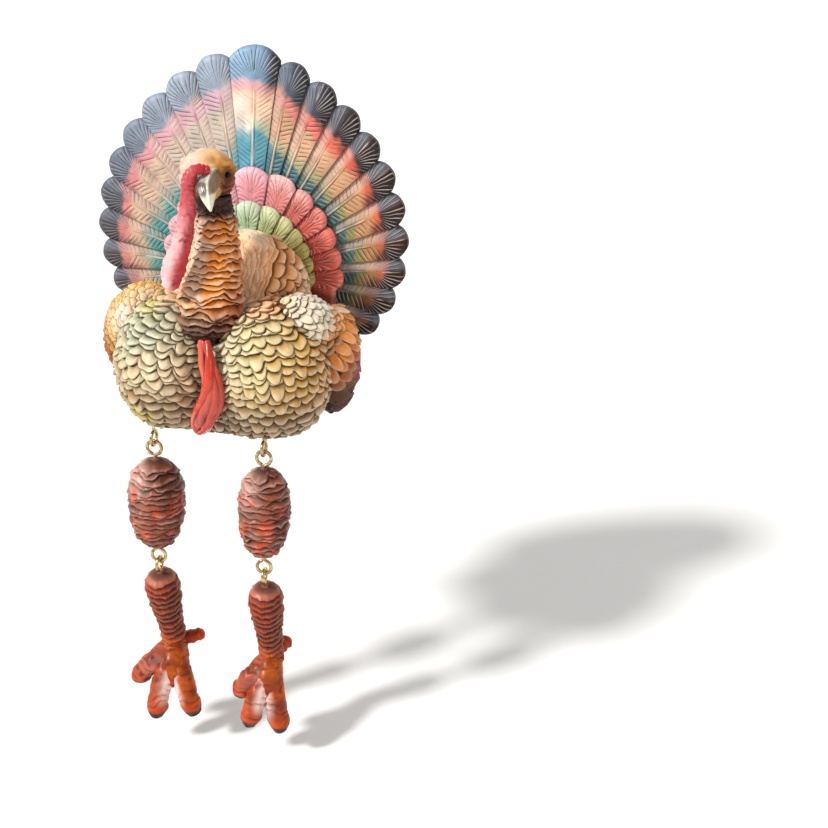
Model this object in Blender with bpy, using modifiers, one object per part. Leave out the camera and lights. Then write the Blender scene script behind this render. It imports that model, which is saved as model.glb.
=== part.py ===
"""Hanging-leg turkey shelf sitter: painted resin castings joined by small brass screw eyes.

Run with: blender --background --python part.py
World frame in metres: +Z up, the bird faces -Y, +X is on the viewer's right.
The origin is on the flat underside that sits on a shelf. Numbers below are in millimetres.
"""
import math

import bmesh
import bpy
from mathutils import Vector

MM = 0.001
GAP = 0.3          # clearance kept between castings that touch
SEAT_Z = 0.0       # underside of the body
BACK_Y = 23.6      # back of the tail fan

# Tail fan and its two rows of coverts, all flat castings that radiate from one height.
FAN_CENTRE_X = 0.8
FAN_CENTRE_Z = 51.9
FAN_FRONT_Y = 18.2
FAN_FEATHERS = 11              # on each side of the middle one
FAN_STEP = 10.8                # degrees between feathers
FAN_SPREAD = 1.5               # extra degrees beside the broad middle feather
FAN_LEAN = 1.6                 # degrees that the upright feathers lean to the viewer's right
FAN_TOP_R = 93.0
FAN_NOTCH = 5.0
COVERT_THICK = 4.0
COVERT_STEP = 13.6
COVERT_CENTRE_X = 2.4
COVERT_SHELF_Z = 32.0          # ledge of the body that the coverts stand on

# Body: two breast lobes, the trunk and the saddle behind the neck, as (centre, radii).
BREAST_LEFT = ((-18.5, -20.0, 23.0), (22.8, 28.0, 28.0))
BREAST_RIGHT = ((20.5, -20.0, 23.5), (25.0, 28.0, 28.5))
TRUNK = ((0.0, -2.0, 24.0), (41.0, 23.0, 32.0))
BELLY = ((2.0, -17.0, 8.0), (37.0, 21.5, 16.0))
SADDLE = ((4.0, 0.0, 49.5), (27.0, 15.0, 24.5))
BODY_LUMPS = (TRUNK, BREAST_LEFT, BREAST_RIGHT, BELLY, SADDLE)

# Neck, head and what hangs from them: centre lines with a radius at each point.
NECK_LINE = ((-0.6, -30.5, 39.0), (-0.6, -31.5, 43.0), (-0.6, -29.5, 52.0), (0.4, -28.0, 63.0),
             (1.8, -27.5, 74.0), (1.4, -27.0, 84.0), (0.6, -26.5, 92.0))
NECK_RADII = (8.0, 11.0, 12.8, 10.7, 8.6, 7.7, 7.6)
HEAD = ((-1.4, -26.5, 99.5), (10.4, 13.0, 11.0))
BEAK_LINE = ((2.2, -32.0, 100.0), (2.8, -38.5, 98.8), (4.4, -43.5, 95.6), (6.3, -46.8, 91.0))
BEAK_RADII = (5.6, 5.2, 3.6, 0.7)
SNOOD_LINE = ((3.4, -40.5, 104.6), (-0.4, -42.5, 104.6), (-3.2, -42.0, 101.0), (-4.2, -41.0, 93.0),
              (-5.0, -42.0, 84.0), (-7.2, -42.5, 75.0), (-10.2, -42.5, 66.5), (-11.2, -43.0, 61.5))
SNOOD_RADII = (1.8, 2.4, 3.0, 3.4, 3.9, 4.6, 5.6, 3.6)
BEARD_LINE = ((1.8, -43.5, 39.5), (4.2, -45.6, 33.5), (5.6, -46.8, 24.0), (4.4, -46.2, 13.0),
              (1.2, -43.5, 4.6), (-0.4, -42.0, 1.2))
BEARD_RADII = (1.8, 3.3, 4.8, 5.6, 4.2, 1.0)

# Folded wings, one on each side: shoulder, flank and tip.
WING_LUMPS = (((42.0, -8.0, 29.0), (10.5, 14.5, 18.0)),
              ((33.0, -13.0, 41.0), (12.5, 12.0, 11.0)),
              ((43.5, -1.0, 19.5), (7.5, 15.0, 18.5)))

# Screw eyes: a shank that goes into the resin and a ring of the same wire.
WIRE_R = 0.68
RING_R = 3.0
SHANK_IN = 6.0                 # length of shank inside a casting
SHANK_TOP_Z = 7.0              # top of the shanks that hold the legs to the body
SHANK_CLEARANCE = 0.3
LINK = 2.0 * RING_R - 2.0 * WIRE_R - GAP      # distance between the centres of two linked rings
RING_OUT = RING_R + WIRE_R

# Legs, each hanging straight down from its hip.
HIP_Y = -34.5
THIGH_LENGTH = 40.0
THIGH_ROUNDS = ((0.0, 0.24), (0.03, 0.5), (0.13, 0.8), (0.32, 0.98), (0.5, 1.0), (0.68, 0.94),
                (0.86, 0.76), (0.97, 0.46), (1.0, 0.24))
FOOT_LENGTH = 40.0             # from the top of the shank down to the ankle
SHANK_RADII = (2.4, 5.7, 7.2, 7.4, 7.2, 6.6, 5.9, 5.4, 5.4, 6.0)
SHANK_STEPS = (0.0, 0.02, 0.08, 0.19, 0.32, 0.46, 0.6, 0.74, 0.88, 1.0)
TOE_RADII = (6.2, 5.5, 5.0, 4.7, 2.4)
HIND_RADII = (4.4, 3.1, 2.9, 1.8)


class Leg:
    """One leg. Gaps are the bare shank between a ring and its casting, tilt is the angle in degrees at which
    the foot balances under its ring, lean is how far the shank curves sideways, and each toe is the offset
    of its tip from the ankle."""

    def __init__(self, x, ring_z, thigh_r, gaps, tilt, lean, toes, hind_toe):
        self.x = x
        self.ring_z = ring_z
        self.thigh_r = thigh_r
        self.thigh_gap, self.knee_gap = gaps
        self.tilt = math.radians(tilt)
        self.lean = lean
        self.toes = toes
        self.hind_toe = hind_toe


LEGS = {
    "left": Leg(-23.8, -5.9, 11.7, (1.4, 0.8), 8.3, 3.6,
                ((-14.6, -12.0, -12.3), (-3.6, -21.0, -24.2), (13.0, -17.0, -23.6)), (11.0, 4.0, 2.0)),
    "right": Leg(22.2, -5.1, 10.8, (0.9, 1.6), 7.8, 1.6,
                 ((-12.0, -12.0, -12.2), (-5.5, -20.0, -21.8), (8.0, -17.0, -25.6)), (5.0, 9.0, 1.0)),
}

COLOURS = {
    "tail": ((0.62, 0.42, 0.33), 0.55, 0.0),
    "coverts_red": ((0.62, 0.20, 0.20), 0.55, 0.0),
    "coverts_green": ((0.42, 0.50, 0.24), 0.55, 0.0),
    "breast": ((0.72, 0.66, 0.42), 0.6, 0.0),
    "neck": ((0.60, 0.38, 0.20), 0.6, 0.0),
    "wing": ((0.72, 0.48, 0.30), 0.6, 0.0),
    "beak": ((0.88, 0.82, 0.60), 0.4, 0.0),
    "wattle": ((0.55, 0.09, 0.11), 0.45, 0.0),
    "beard": ((0.62, 0.08, 0.06), 0.35, 0.0),
    "leg": ((0.55, 0.24, 0.18), 0.55, 0.0),
    "brass": ((0.78, 0.62, 0.34), 0.3, 1.0),
}


def start():
    """Empty the scene and make the two collections."""
    for obj in list(bpy.data.objects):
        bpy.data.objects.remove(obj, do_unlink=True)
    groups = []
    for name in ("turkey_shelf_sitter", "cutters"):
        group = bpy.data.collections.new(name)
        bpy.context.scene.collection.children.link(group)
        groups.append(group)
    return groups


PARTS, CUTTERS = start()


def material(slot):
    found = bpy.data.materials.get(slot)
    if found:
        return found
    colour, roughness, metallic = COLOURS[slot]
    made = bpy.data.materials.new(slot)
    made.use_nodes = True
    shader = made.node_tree.nodes["Principled BSDF"]
    shader.inputs["Base Color"].default_value = (*colour, 1.0)
    shader.inputs["Roughness"].default_value = roughness
    shader.inputs["Metallic"].default_value = metallic
    return made


def add_object(name, mesh, location=(0, 0, 0)):
    """Put a mesh in the cutters until keep() makes it a part."""
    obj = bpy.data.objects.new(name, mesh)
    obj.location = Vector(location) * MM
    obj.hide_render = True
    obj.display_type = "WIRE"
    CUTTERS.objects.link(obj)
    return obj


def keep(obj, name, slot, parent=None):
    """Make an object one of the parts, under its own name and material."""
    CUTTERS.objects.unlink(obj)
    PARTS.objects.link(obj)
    obj.name = name
    obj.hide_render = False
    obj.display_type = "TEXTURED"
    obj.data.materials.clear()
    obj.data.materials.append(material(slot))
    return carry(obj, parent) if parent else obj


def carry(obj, parent):
    """Hang an object that is drawn in world coordinates on an empty, which may then be turned."""
    obj.parent = parent
    obj.location = obj.location - parent.location
    return obj


def boolean(obj, other, operation):
    step = obj.modifiers.new(operation.lower() + "_" + other.name, "BOOLEAN")
    step.operation = operation
    step.object = other
    return obj


def subtract(obj, *others):
    for other in others:
        boolean(obj, other, "DIFFERENCE")
    return obj


def box(name, low, high):
    mesh = bpy.data.meshes.new(name)
    shape = bmesh.new()
    bmesh.ops.create_cube(shape, size=1.0)
    size = Vector(high) - Vector(low)
    bmesh.ops.scale(shape, vec=size * MM, verts=shape.verts)
    shape.to_mesh(mesh)
    shape.free()
    return add_object(name, mesh, (Vector(low) + Vector(high)) / 2)


def rod(name, top, length, radius, sides=12):
    """An upright cylinder that ends at top."""
    mesh = bpy.data.meshes.new(name)
    shape = bmesh.new()
    bmesh.ops.create_cone(shape, cap_ends=True, segments=sides, radius1=radius * MM,
                          radius2=radius * MM, depth=length * MM)
    shape.to_mesh(mesh)
    shape.free()
    return add_object(name, mesh, Vector(top) - Vector((0, 0, length / 2)))


def ellipsoid(name, centre, radii, grow=0.0, segments=24, rings=14):
    mesh = bpy.data.meshes.new(name)
    shape = bmesh.new()
    bmesh.ops.create_uvsphere(shape, u_segments=segments, v_segments=rings, radius=1.0)
    bmesh.ops.scale(shape, vec=(Vector(radii) + Vector((grow,) * 3)) * MM, verts=shape.verts)
    shape.to_mesh(mesh)
    shape.free()
    return add_object(name, mesh, centre)


def lumps(name, shapes, grow=0.0, segments=24, rings=14):
    """Ellipsoids joined into one solid."""
    whole = ellipsoid(name, *shapes[0], grow, segments, rings)
    for number, shape in enumerate(shapes[1:], 1):
        boolean(whole, ellipsoid(f"{name}_{number}", *shape, grow, segments, rings), "UNION")
    return whole


def smooth_line(points, values, steps):
    """Catmull-Rom samples of a line of points and of the values along it."""
    rows = [Vector((*point, value)) for point, value in zip(points, values)]
    rows = [2 * rows[0] - rows[1], *rows, 2 * rows[-1] - rows[-2]]
    out = []
    for before, first, second, after in zip(rows, rows[1:], rows[2:], rows[3:]):
        for step in range(steps):
            t = step / steps
            out.append(0.5 * (2 * first + (second - before) * t
                              + (2 * before - 5 * first + 4 * second - after) * t ** 2
                              + (3 * first - before - 3 * second + after) * t ** 3))
    out.append(rows[-2])
    return [row.xyz for row in out], [row.w for row in out]


def tube(name, points, radii, grow=0.0, resolution=4):
    """A closed solid along a line of points, with a radius at each point."""
    curve = bpy.data.curves.new(name, "CURVE")
    curve.dimensions = "3D"
    curve.bevel_depth = MM
    curve.bevel_resolution = resolution
    curve.use_fill_caps = True
    spline = curve.splines.new("POLY")
    spline.points.add(len(points) - 1)
    ends = [Vector(points[0]) - Vector(points[1]), Vector(points[-1]) - Vector(points[-2])]
    for number, (knot, point, radius) in enumerate(zip(spline.points, points, radii)):
        place = Vector(point)
        if number == 0:
            place += ends[0].normalized() * grow
        if number == len(points) - 1:
            place += ends[1].normalized() * grow
        knot.co = (*(place * MM), 1.0)
        knot.radius = radius + grow
    guide = bpy.data.objects.new(name + "_guide", curve)
    CUTTERS.objects.link(guide)
    shown = guide.evaluated_get(bpy.context.evaluated_depsgraph_get())
    mesh = bpy.data.meshes.new_from_object(shown)
    shape = bmesh.new()
    shape.from_mesh(mesh)
    bmesh.ops.remove_doubles(shape, verts=shape.verts, dist=0.00001)
    bmesh.ops.recalc_face_normals(shape, faces=shape.faces)
    shape.to_mesh(mesh)
    shape.free()
    obj = add_object(name, mesh)
    obj.matrix_world = guide.matrix_world.copy()
    bpy.data.objects.remove(guide, do_unlink=True)
    return obj


def limb(name, points, radii, grow=0.0, steps=3, resolution=4):
    return tube(name, *smooth_line(points, radii, steps), grow, resolution)


def plate(name, outline, front_y, back_y):
    """A flat casting: an outline in X and Z, standing between two Y planes."""
    curve = bpy.data.curves.new(name, "CURVE")
    curve.dimensions = "2D"
    curve.fill_mode = "BOTH"
    curve.extrude = (back_y - front_y) / 2 * MM
    spline = curve.splines.new("POLY")
    spline.points.add(len(outline) - 1)
    for knot, (x, z) in zip(spline.points, outline):
        knot.co = (x * MM, z * MM, 0.0, 1.0)
    spline.use_cyclic_u = True
    obj = bpy.data.objects.new(name, curve)
    obj.rotation_euler = (math.pi / 2, 0.0, 0.0)
    obj.location = (0.0, (front_y + back_y) / 2 * MM, 0.0)
    CUTTERS.objects.link(obj)
    return obj


def scallops(angles, reach, notch, centre_x, samples=6):
    """Rounded feather tips, one at each angle from upright, from the right over the top to the left.

    reach(angle) is the distance of a tip from the centre. Neighbours meet halfway between their angles.
    """
    points = []
    ends = [2 * angles[0] - angles[1], *angles, 2 * angles[-1] - angles[-2]]
    for before, middle, after in zip(ends, angles, ends[2:]):
        for sample in range(samples):
            across = 1.0 - 2.0 * sample / (samples - 1)
            neighbour = before if across > 0 else after
            angle = math.radians(middle + 0.49 * abs(across) * (neighbour - middle))
            distance = reach(middle) - notch * abs(across) ** 2.4
            points.append((centre_x + distance * math.sin(angle), FAN_CENTRE_Z + distance * math.cos(angle)))
    return points


def fan_angles():
    """The middle feather is broader than the rest, and the upright ones lean a little."""
    angles = []
    for number in range(FAN_FEATHERS, -FAN_FEATHERS - 1, -1):
        angle = FAN_STEP * number + FAN_SPREAD * (number > 0) - FAN_SPREAD * (number < 0)
        angles.append(angle + FAN_LEAN * math.cos(math.radians(angle)))
    return angles


def fan_reach(angle):
    """Tips get shorter from the top of the fan down to its sides."""
    angle = abs(angle)
    return FAN_TOP_R - 0.32 * angle - 1.4 * math.sin(math.radians(2.69 * angle))


def oval_reach(wide, tall):
    def reach(angle):
        across = math.sin(math.radians(angle)) / wide
        upward = math.cos(math.radians(angle)) / tall
        return 1.0 / math.hypot(across, upward)
    return reach


def add_tail():
    outline = scallops(fan_angles(), fan_reach, FAN_NOTCH, FAN_CENTRE_X, 7)
    outline += [(-33.0, SEAT_Z + 1.0), (33.0, SEAT_Z + 1.0)]
    keep(plate("tail_fan_flat", outline, FAN_FRONT_Y, BACK_Y), "tail_fan", "tail")
    back = FAN_FRONT_Y - GAP
    rows = (("coverts_outer", "coverts_red", oval_reach(39.6, 45.0), 3.0),
            ("coverts_inner", "coverts_green", oval_reach(28.5, 31.8), 2.0))
    for name, slot, reach, notch in rows:
        angles = [COVERT_STEP * number for number in range(7, -8, -1)]
        outline = scallops(angles, reach, notch, COVERT_CENTRE_X)
        outline += [(outline[-1][0], COVERT_SHELF_Z + GAP), (outline[0][0], COVERT_SHELF_Z + GAP)]
        keep(plate(name + "_flat", outline, back - COVERT_THICK, back), name, slot)
        back -= COVERT_THICK + GAP


def add_body():
    body = lumps("body_form", BODY_LUMPS)
    coverts_front = FAN_FRONT_Y - 2 * (COVERT_THICK + GAP) - GAP
    wide = 90.0
    subtract(body,
             box("below_seat", (-wide, -wide, -wide), (wide, wide, SEAT_Z)),
             box("behind_back", (-wide, FAN_FRONT_Y - GAP, -wide), (wide, wide, wide)),
             box("covert_ledge", (-wide, coverts_front, COVERT_SHELF_Z), (wide, wide, wide)))
    for side, leg in LEGS.items():
        subtract(body, rod(f"hip_bore_{side}", (leg.x, HIP_Y, SHANK_TOP_Z + GAP), 3 * SHANK_IN,
                           WIRE_R + SHANK_CLEARANCE))
    return keep(body, "body", "breast")


def add_neck_and_head():
    body_room = lumps("body_room", BODY_LUMPS, GAP)
    head_room = ellipsoid("head_room", *HEAD, GAP)
    neck_room = limb("neck_room", NECK_LINE, NECK_RADII, GAP)
    beak_room = limb("beak_room", BEAK_LINE, BEAK_RADII, GAP, resolution=3)
    neck = limb("neck_form", NECK_LINE, NECK_RADII)
    keep(subtract(neck, body_room, head_room), "neck", "neck")
    keep(ellipsoid("head_form", *HEAD), "head", "neck")
    beak = limb("beak_form", BEAK_LINE, BEAK_RADII, resolution=3)
    keep(subtract(beak, head_room), "beak", "beak")
    snood = limb("snood_form", SNOOD_LINE, SNOOD_RADII, resolution=3)
    keep(subtract(snood, body_room, head_room, neck_room, beak_room), "snood", "wattle")
    beard = limb("beard_form", BEARD_LINE, BEARD_RADII, resolution=3)
    keep(subtract(beard, body_room, neck_room), "beard", "beard")
    return body_room


def add_wings(body_room):
    for side, sign in (("left", -1), ("right", 1)):
        shapes = [((sign * centre[0], centre[1], centre[2]), radii) for centre, radii in WING_LUMPS]
        wing = lumps(f"wing_form_{side}", shapes, 0.0, 20, 12)
        keep(subtract(wing, body_room), f"wing_{side}", "wing")


def screw_eye(name, ring, shank, face_on, parent):
    """A ring with its shank, upward or downward. face_on rings lie across the bird, the others fore and aft."""
    turn = math.copysign(1.0, shank)
    path = [(0.0, RING_OUT + abs(shank)), (0.0, RING_OUT + 0.4), (0.15, RING_OUT), (0.55, RING_R + 0.05)]
    arc_steps = 14
    for step in range(arc_steps + 1):
        angle = math.radians(62.0 - (62.0 + 240.0) * step / arc_steps)
        path.append((RING_R * math.cos(angle), RING_R * math.sin(angle)))
    points = []
    for across, upward in path:
        offset = (across, 0.0, turn * upward) if face_on else (0.0, across, turn * upward)
        points.append(Vector(ring) + Vector(offset))
    eye = tube(name + "_wire", points, [WIRE_R] * len(points), 0.0, 2)
    return keep(eye, name, "brass", parent)


def joint_empty(name, place, tilt=0.0):
    """An empty on a joint's axis, which carries the moving pieces."""
    empty = bpy.data.objects.new(name, None)
    empty.location = Vector(place) * MM
    empty.rotation_euler.x = tilt
    empty.empty_display_size = 5 * MM
    PARTS.objects.link(empty)
    return empty


def thigh_casting(name, x, top_z, radius, parent):
    """A turned barrel with a bore for a shank in each end."""
    curve = bmesh.new()
    rounds = [(0.0, 0.0), *THIGH_ROUNDS, (1.0, 0.0)]
    places = [curve.verts.new((radius * wide * MM, 0.0, -THIGH_LENGTH * down * MM)) for down, wide in rounds]
    for first, second in zip(places, places[1:]):
        curve.edges.new((first, second))
    mesh = bpy.data.meshes.new(name)
    curve.to_mesh(mesh)
    curve.free()
    thigh = add_object(name + "_profile", mesh, (x, HIP_Y, top_z))
    turned = thigh.modifiers.new("turned", "SCREW")
    turned.steps = turned.render_steps = 20
    turned.use_merge_vertices = True
    turned.merge_threshold = 0.00001
    bore = WIRE_R + SHANK_CLEARANCE
    depth = SHANK_IN + GAP
    subtract(thigh,
             rod(name + "_top_bore", (x, HIP_Y, top_z + depth), 2 * depth, bore),
             rod(name + "_bottom_bore", (x, HIP_Y, top_z - THIGH_LENGTH + depth), 2 * depth, bore))
    return keep(thigh, name, "leg", parent)


def foot_casting(name, leg, top_z, parent):
    """A ringed shank that leans a little, with three front toes and a hind toe."""
    top = Vector((leg.x, HIP_Y, top_z))
    line = [top + Vector((leg.lean * down ** 1.5, 0.0, -FOOT_LENGTH * down)) for down in SHANK_STEPS]
    ankle = line[-1] + Vector((0.0, -0.5, 1.0))
    foot = tube(name + "_shank", line, SHANK_RADII)
    for number, toe in enumerate(leg.toes):
        reach = Vector(toe)
        bend = Vector((0.0, -2.5, 2.0))
        points = [ankle, ankle + 0.35 * reach + bend, ankle + 0.65 * reach + bend,
                  ankle + 0.9 * reach + 0.4 * bend, ankle + reach]
        boolean(foot, carry(tube(f"{name}_toe_{number}", points, TOE_RADII, 0.0, 3), parent), "UNION")
    hind = Vector(leg.hind_toe)
    heel = ankle + Vector((0.0, 1.0, 1.0))
    points = [heel, heel + 0.5 * hind, heel + 0.85 * hind, heel + hind]
    boolean(foot, carry(tube(f"{name}_hind_toe", points, HIND_RADII, 0.0, 3), parent), "UNION")
    depth = SHANK_IN + GAP
    bore = rod(name + "_bore", top + Vector((0.0, 0.0, depth)), 2 * depth, WIRE_R + SHANK_CLEARANCE)
    subtract(foot, carry(bore, parent))
    return keep(foot, name, "leg", parent)


def add_leg(side, leg):
    hip_ring = (leg.x, HIP_Y, leg.ring_z)
    upper_ring = (leg.x, HIP_Y, leg.ring_z - LINK)
    thigh_top = upper_ring[2] - RING_OUT - leg.thigh_gap
    lower_ring = (leg.x, HIP_Y, thigh_top - THIGH_LENGTH - leg.knee_gap - RING_OUT)
    foot_ring = (leg.x, HIP_Y, lower_ring[2] - LINK)
    foot_top = foot_ring[2] - RING_OUT - leg.knee_gap
    hip = joint_empty(f"hip_axis_{side}", (leg.x, HIP_Y, upper_ring[2] + RING_R))
    knee = joint_empty(f"knee_axis_{side}", (leg.x, HIP_Y, lower_ring[2] - RING_R), leg.tilt)
    screw_eye(f"hip_eye_{side}", hip_ring, SHANK_TOP_Z - leg.ring_z - RING_OUT, False, None)
    screw_eye(f"thigh_top_eye_{side}", upper_ring, -leg.thigh_gap - SHANK_IN, True, hip)
    thigh_casting(f"thigh_{side}", leg.x, thigh_top, leg.thigh_r, hip)
    screw_eye(f"thigh_bottom_eye_{side}", lower_ring, leg.knee_gap + SHANK_IN, True, hip)
    screw_eye(f"foot_eye_{side}", foot_ring, -leg.knee_gap - SHANK_IN, False, knee)
    foot_casting(f"foot_{side}", leg, foot_top, knee)


def build():
    add_tail()
    add_body()
    add_wings(add_neck_and_head())
    for side, leg in LEGS.items():
        add_leg(side, leg)


build()
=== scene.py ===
"""Looks of the hanging-leg turkey shelf sitter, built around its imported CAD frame.

Lengths below are in millimetres, in the frame of the CAD: +Z up, the bird faces -Y, and the origin is on the
flat underside. Every piece is a hand-painted resin casting, or a brass screw eye.
"""
import math

import bmesh
import bpy
import numpy as np
from mathutils import Matrix, Vector


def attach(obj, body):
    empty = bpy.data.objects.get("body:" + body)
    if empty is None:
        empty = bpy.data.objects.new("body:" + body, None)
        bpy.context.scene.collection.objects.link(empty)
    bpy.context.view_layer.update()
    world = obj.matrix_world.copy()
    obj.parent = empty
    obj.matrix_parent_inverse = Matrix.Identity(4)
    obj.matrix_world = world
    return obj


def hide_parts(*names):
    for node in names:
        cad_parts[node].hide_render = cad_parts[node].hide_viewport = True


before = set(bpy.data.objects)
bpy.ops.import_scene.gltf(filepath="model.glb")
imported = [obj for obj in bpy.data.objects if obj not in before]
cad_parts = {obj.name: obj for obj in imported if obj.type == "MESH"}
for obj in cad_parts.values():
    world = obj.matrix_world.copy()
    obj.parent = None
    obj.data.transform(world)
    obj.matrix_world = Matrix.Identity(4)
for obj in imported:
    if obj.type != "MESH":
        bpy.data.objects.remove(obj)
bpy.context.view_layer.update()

MM = 0.001
TAU = 2 * math.pi
POLE_GAP = 0.02       # angle left open at the poles of a round form, before they are closed to a point


# ---------------------------------------------------------------- numbers, noise and colours

def linear(code):
    """A colour written as six hex digits, as linear red, green and blue."""
    value = np.array([int(code[i:i + 2], 16) for i in (0, 2, 4)]) / 255
    return np.where(value <= 0.04045, value / 12.92, ((value + 0.055) / 1.055) ** 2.4)


def mix(first, second, share):
    share = np.clip(np.asarray(share, float), 0, 1)[..., None]
    return first * (1 - share) + second * share


def tint(colour, code, share):
    """Bring a colour toward one written as six hex digits."""
    return mix(colour, linear(code), share)


def ramp(value, *stops):
    """Colour at a value, between stops of (value, six hex digits)."""
    places = [stop[0] for stop in stops]
    colours = np.array([linear(stop[1]) for stop in stops])
    return np.stack([np.interp(value, places, colours[:, i]) for i in range(3)], -1)


def by_angle(angle, rows, column):
    """Colour at an angle, from one column of rows that each start with an angle."""
    return ramp(angle, *[(row[0], row[column]) for row in rows])


def ease(low, high, value):
    share = np.clip((np.asarray(value, float) - low) / (high - low), 0, 1)
    return share * share * (3 - 2 * share)


def hump(value, centre, width):
    return np.exp(-((value - centre) / width) ** 2)


def near(points, place, width):
    """1 at a place, fading out over that width."""
    return hump(np.linalg.norm(points - place, axis=-1), 0, width)


def noise(points, size, seed=0):
    """Smooth noise from -1 to 1, with features of that size in millimetres. Each seed is another pattern."""
    place = np.asarray(points, float) / size
    cell = np.floor(place).astype(np.int64)
    part = place - cell
    part = part * part * (3 - 2 * part)
    total = 0
    for corner in range(8):
        step = np.array([corner & 1, corner >> 1 & 1, corner >> 2 & 1])
        x, y, z = np.moveaxis(cell + step, -1, 0)
        mixed = (x * 374761393 + y * 668265263 + z * 1440662683 + seed * 1274126177) & 0xffffffff
        mixed = ((mixed ^ mixed >> 13) * 1274126177) & 0xffffffff
        value = ((mixed ^ mixed >> 16) & 0xffff) / 32767.5 - 1
        weight = np.prod(np.where(step, part, 1 - part), axis=-1)
        total = total + value * weight
    return total


def luck(first, second, third):
    """A fixed chance value from -1 to 1 for each set of three whole numbers."""
    return noise(np.stack(np.broadcast_arrays(first, second, third), -1), 1.0, 7)


def along_line(points, values, steps=8):
    """Catmull-Rom samples of a line of points and of the values along it."""
    rows = np.column_stack([points, values])
    rows = np.vstack([2 * rows[0] - rows[1], rows, 2 * rows[-1] - rows[-2]])
    t = (np.arange(steps) / steps)[:, None]
    out = []
    for a, b, c, d in zip(rows, rows[1:], rows[2:], rows[3:]):
        out.append(0.5 * (2 * b + (c - a) * t + (2 * a - 5 * b + 4 * c - d) * t ** 2
                          + (3 * b - a - 3 * c + d) * t ** 3))
    out = np.vstack(out + [rows[-2:-1]])
    return out[:, :3], out[:, 3:]


# ---------------------------------------------------------------- meshes that carry their paint

VIVID = 1.15          # how much stronger the paints are than the colours written below


class Casting:
    """Grids of points with their paint, gathered into one mesh.

    Each point has a colour, a hollow (0 on raised parts, 1 down in a crevice; the wash darkens it, and in
    places it holds painted shade) and a grain: the phase of the barbs cut there, how dark they are, and how
    pale the brushed streaks between them are.
    """

    def __init__(self):
        self.count = 0
        self.points, self.colours, self.hollows, self.grains, self.faces = [], [], [], [], []

    def add(self, points, colour, hollow=0.0, grain=(0.0, 0.0, 0.0)):
        shape = points.shape[:-1]
        self.points.append(points.reshape(-1, 3))
        self.colours.append(np.broadcast_to(colour, shape + (3,)).reshape(-1, 3))
        self.hollows.append(np.broadcast_to(hollow, shape).reshape(-1))
        self.grains.append(np.broadcast_to(grain, shape + (3,)).reshape(-1, 3))
        numbers = self.count + np.arange(int(np.prod(shape))).reshape(shape)
        self.count += numbers.size
        return numbers

    def skin(self, numbers, wrap=False):
        if wrap:
            numbers = np.concatenate([numbers, numbers[:, :1]], axis=1)
        self.faces.extend(np.stack([numbers[:-1, :-1], numbers[:-1, 1:], numbers[1:, 1:], numbers[1:, :-1]],
                                   -1).reshape(-1, 4).tolist())

    def close(self, loop, point, colour, hollow=0.0):
        """Triangles from a closed loop of points to one point."""
        tip = int(self.add(np.asarray(point, float)[None], colour, hollow)[0])
        after = np.roll(loop, -1)
        self.faces.extend([int(a), int(b), tip] for a, b in zip(loop, after))

    def closed_skin(self, points, colour, hollow=0.0, grain=(0.0, 0.0, 0.0), cap_hollow=0.0):
        """A skin of rings of points, closed at both ends to the middle of its end ring."""
        numbers = self.add(points, colour, hollow, grain)
        self.skin(numbers, wrap=True)
        colour = np.broadcast_to(colour, points.shape)
        for row in (0, -1):
            self.close(numbers[row], points[row].mean(0), colour[row, 0], cap_hollow)

    def piece(self, name, body, nodes, slot, material, sharp=55):
        mesh = bpy.data.meshes.new(name)
        points = np.vstack(self.points)
        mesh.from_pydata((points * MM).tolist(), [], self.faces)
        colour = np.vstack(self.colours)
        grey = colour @ (0.25, 0.65, 0.10)
        colour = np.column_stack([grey[:, None] + VIVID * (colour - grey[:, None]), np.ones(len(points))])
        mesh.attributes.new("paint", "FLOAT_COLOR", "POINT").data.foreach_set(
            "color", np.clip(colour, 0, 1).astype(np.float32).ravel())
        mesh.attributes.new("hollow", "FLOAT", "POINT").data.foreach_set(
            "value", np.clip(np.concatenate(self.hollows), 0, 1).astype(np.float32))
        mesh.attributes.new("grain", "FLOAT_VECTOR", "POINT").data.foreach_set(
            "vector", np.vstack(self.grains).astype(np.float32).ravel())
        shape = bmesh.new()
        shape.from_mesh(mesh)
        bmesh.ops.recalc_face_normals(shape, faces=shape.faces)
        shape.to_mesh(mesh)
        shape.free()
        mesh.polygons.foreach_set("use_smooth", [True] * len(mesh.polygons))
        mesh.set_sharp_from_angle(angle=math.radians(sharp))
        return place(name, mesh, body, nodes, slot, material)


def place(name, mesh, body, nodes, slot, material):
    """Put a finished mesh in the scene, for the CAD nodes that it stands for."""
    obj = bpy.data.objects.new(name, mesh)
    bpy.context.scene.collection.objects.link(obj)
    mesh.materials.clear()
    mesh.materials.append(material)
    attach(obj, body)
    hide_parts(*nodes)
    return obj


# ---------------------------------------------------------------- materials

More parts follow.
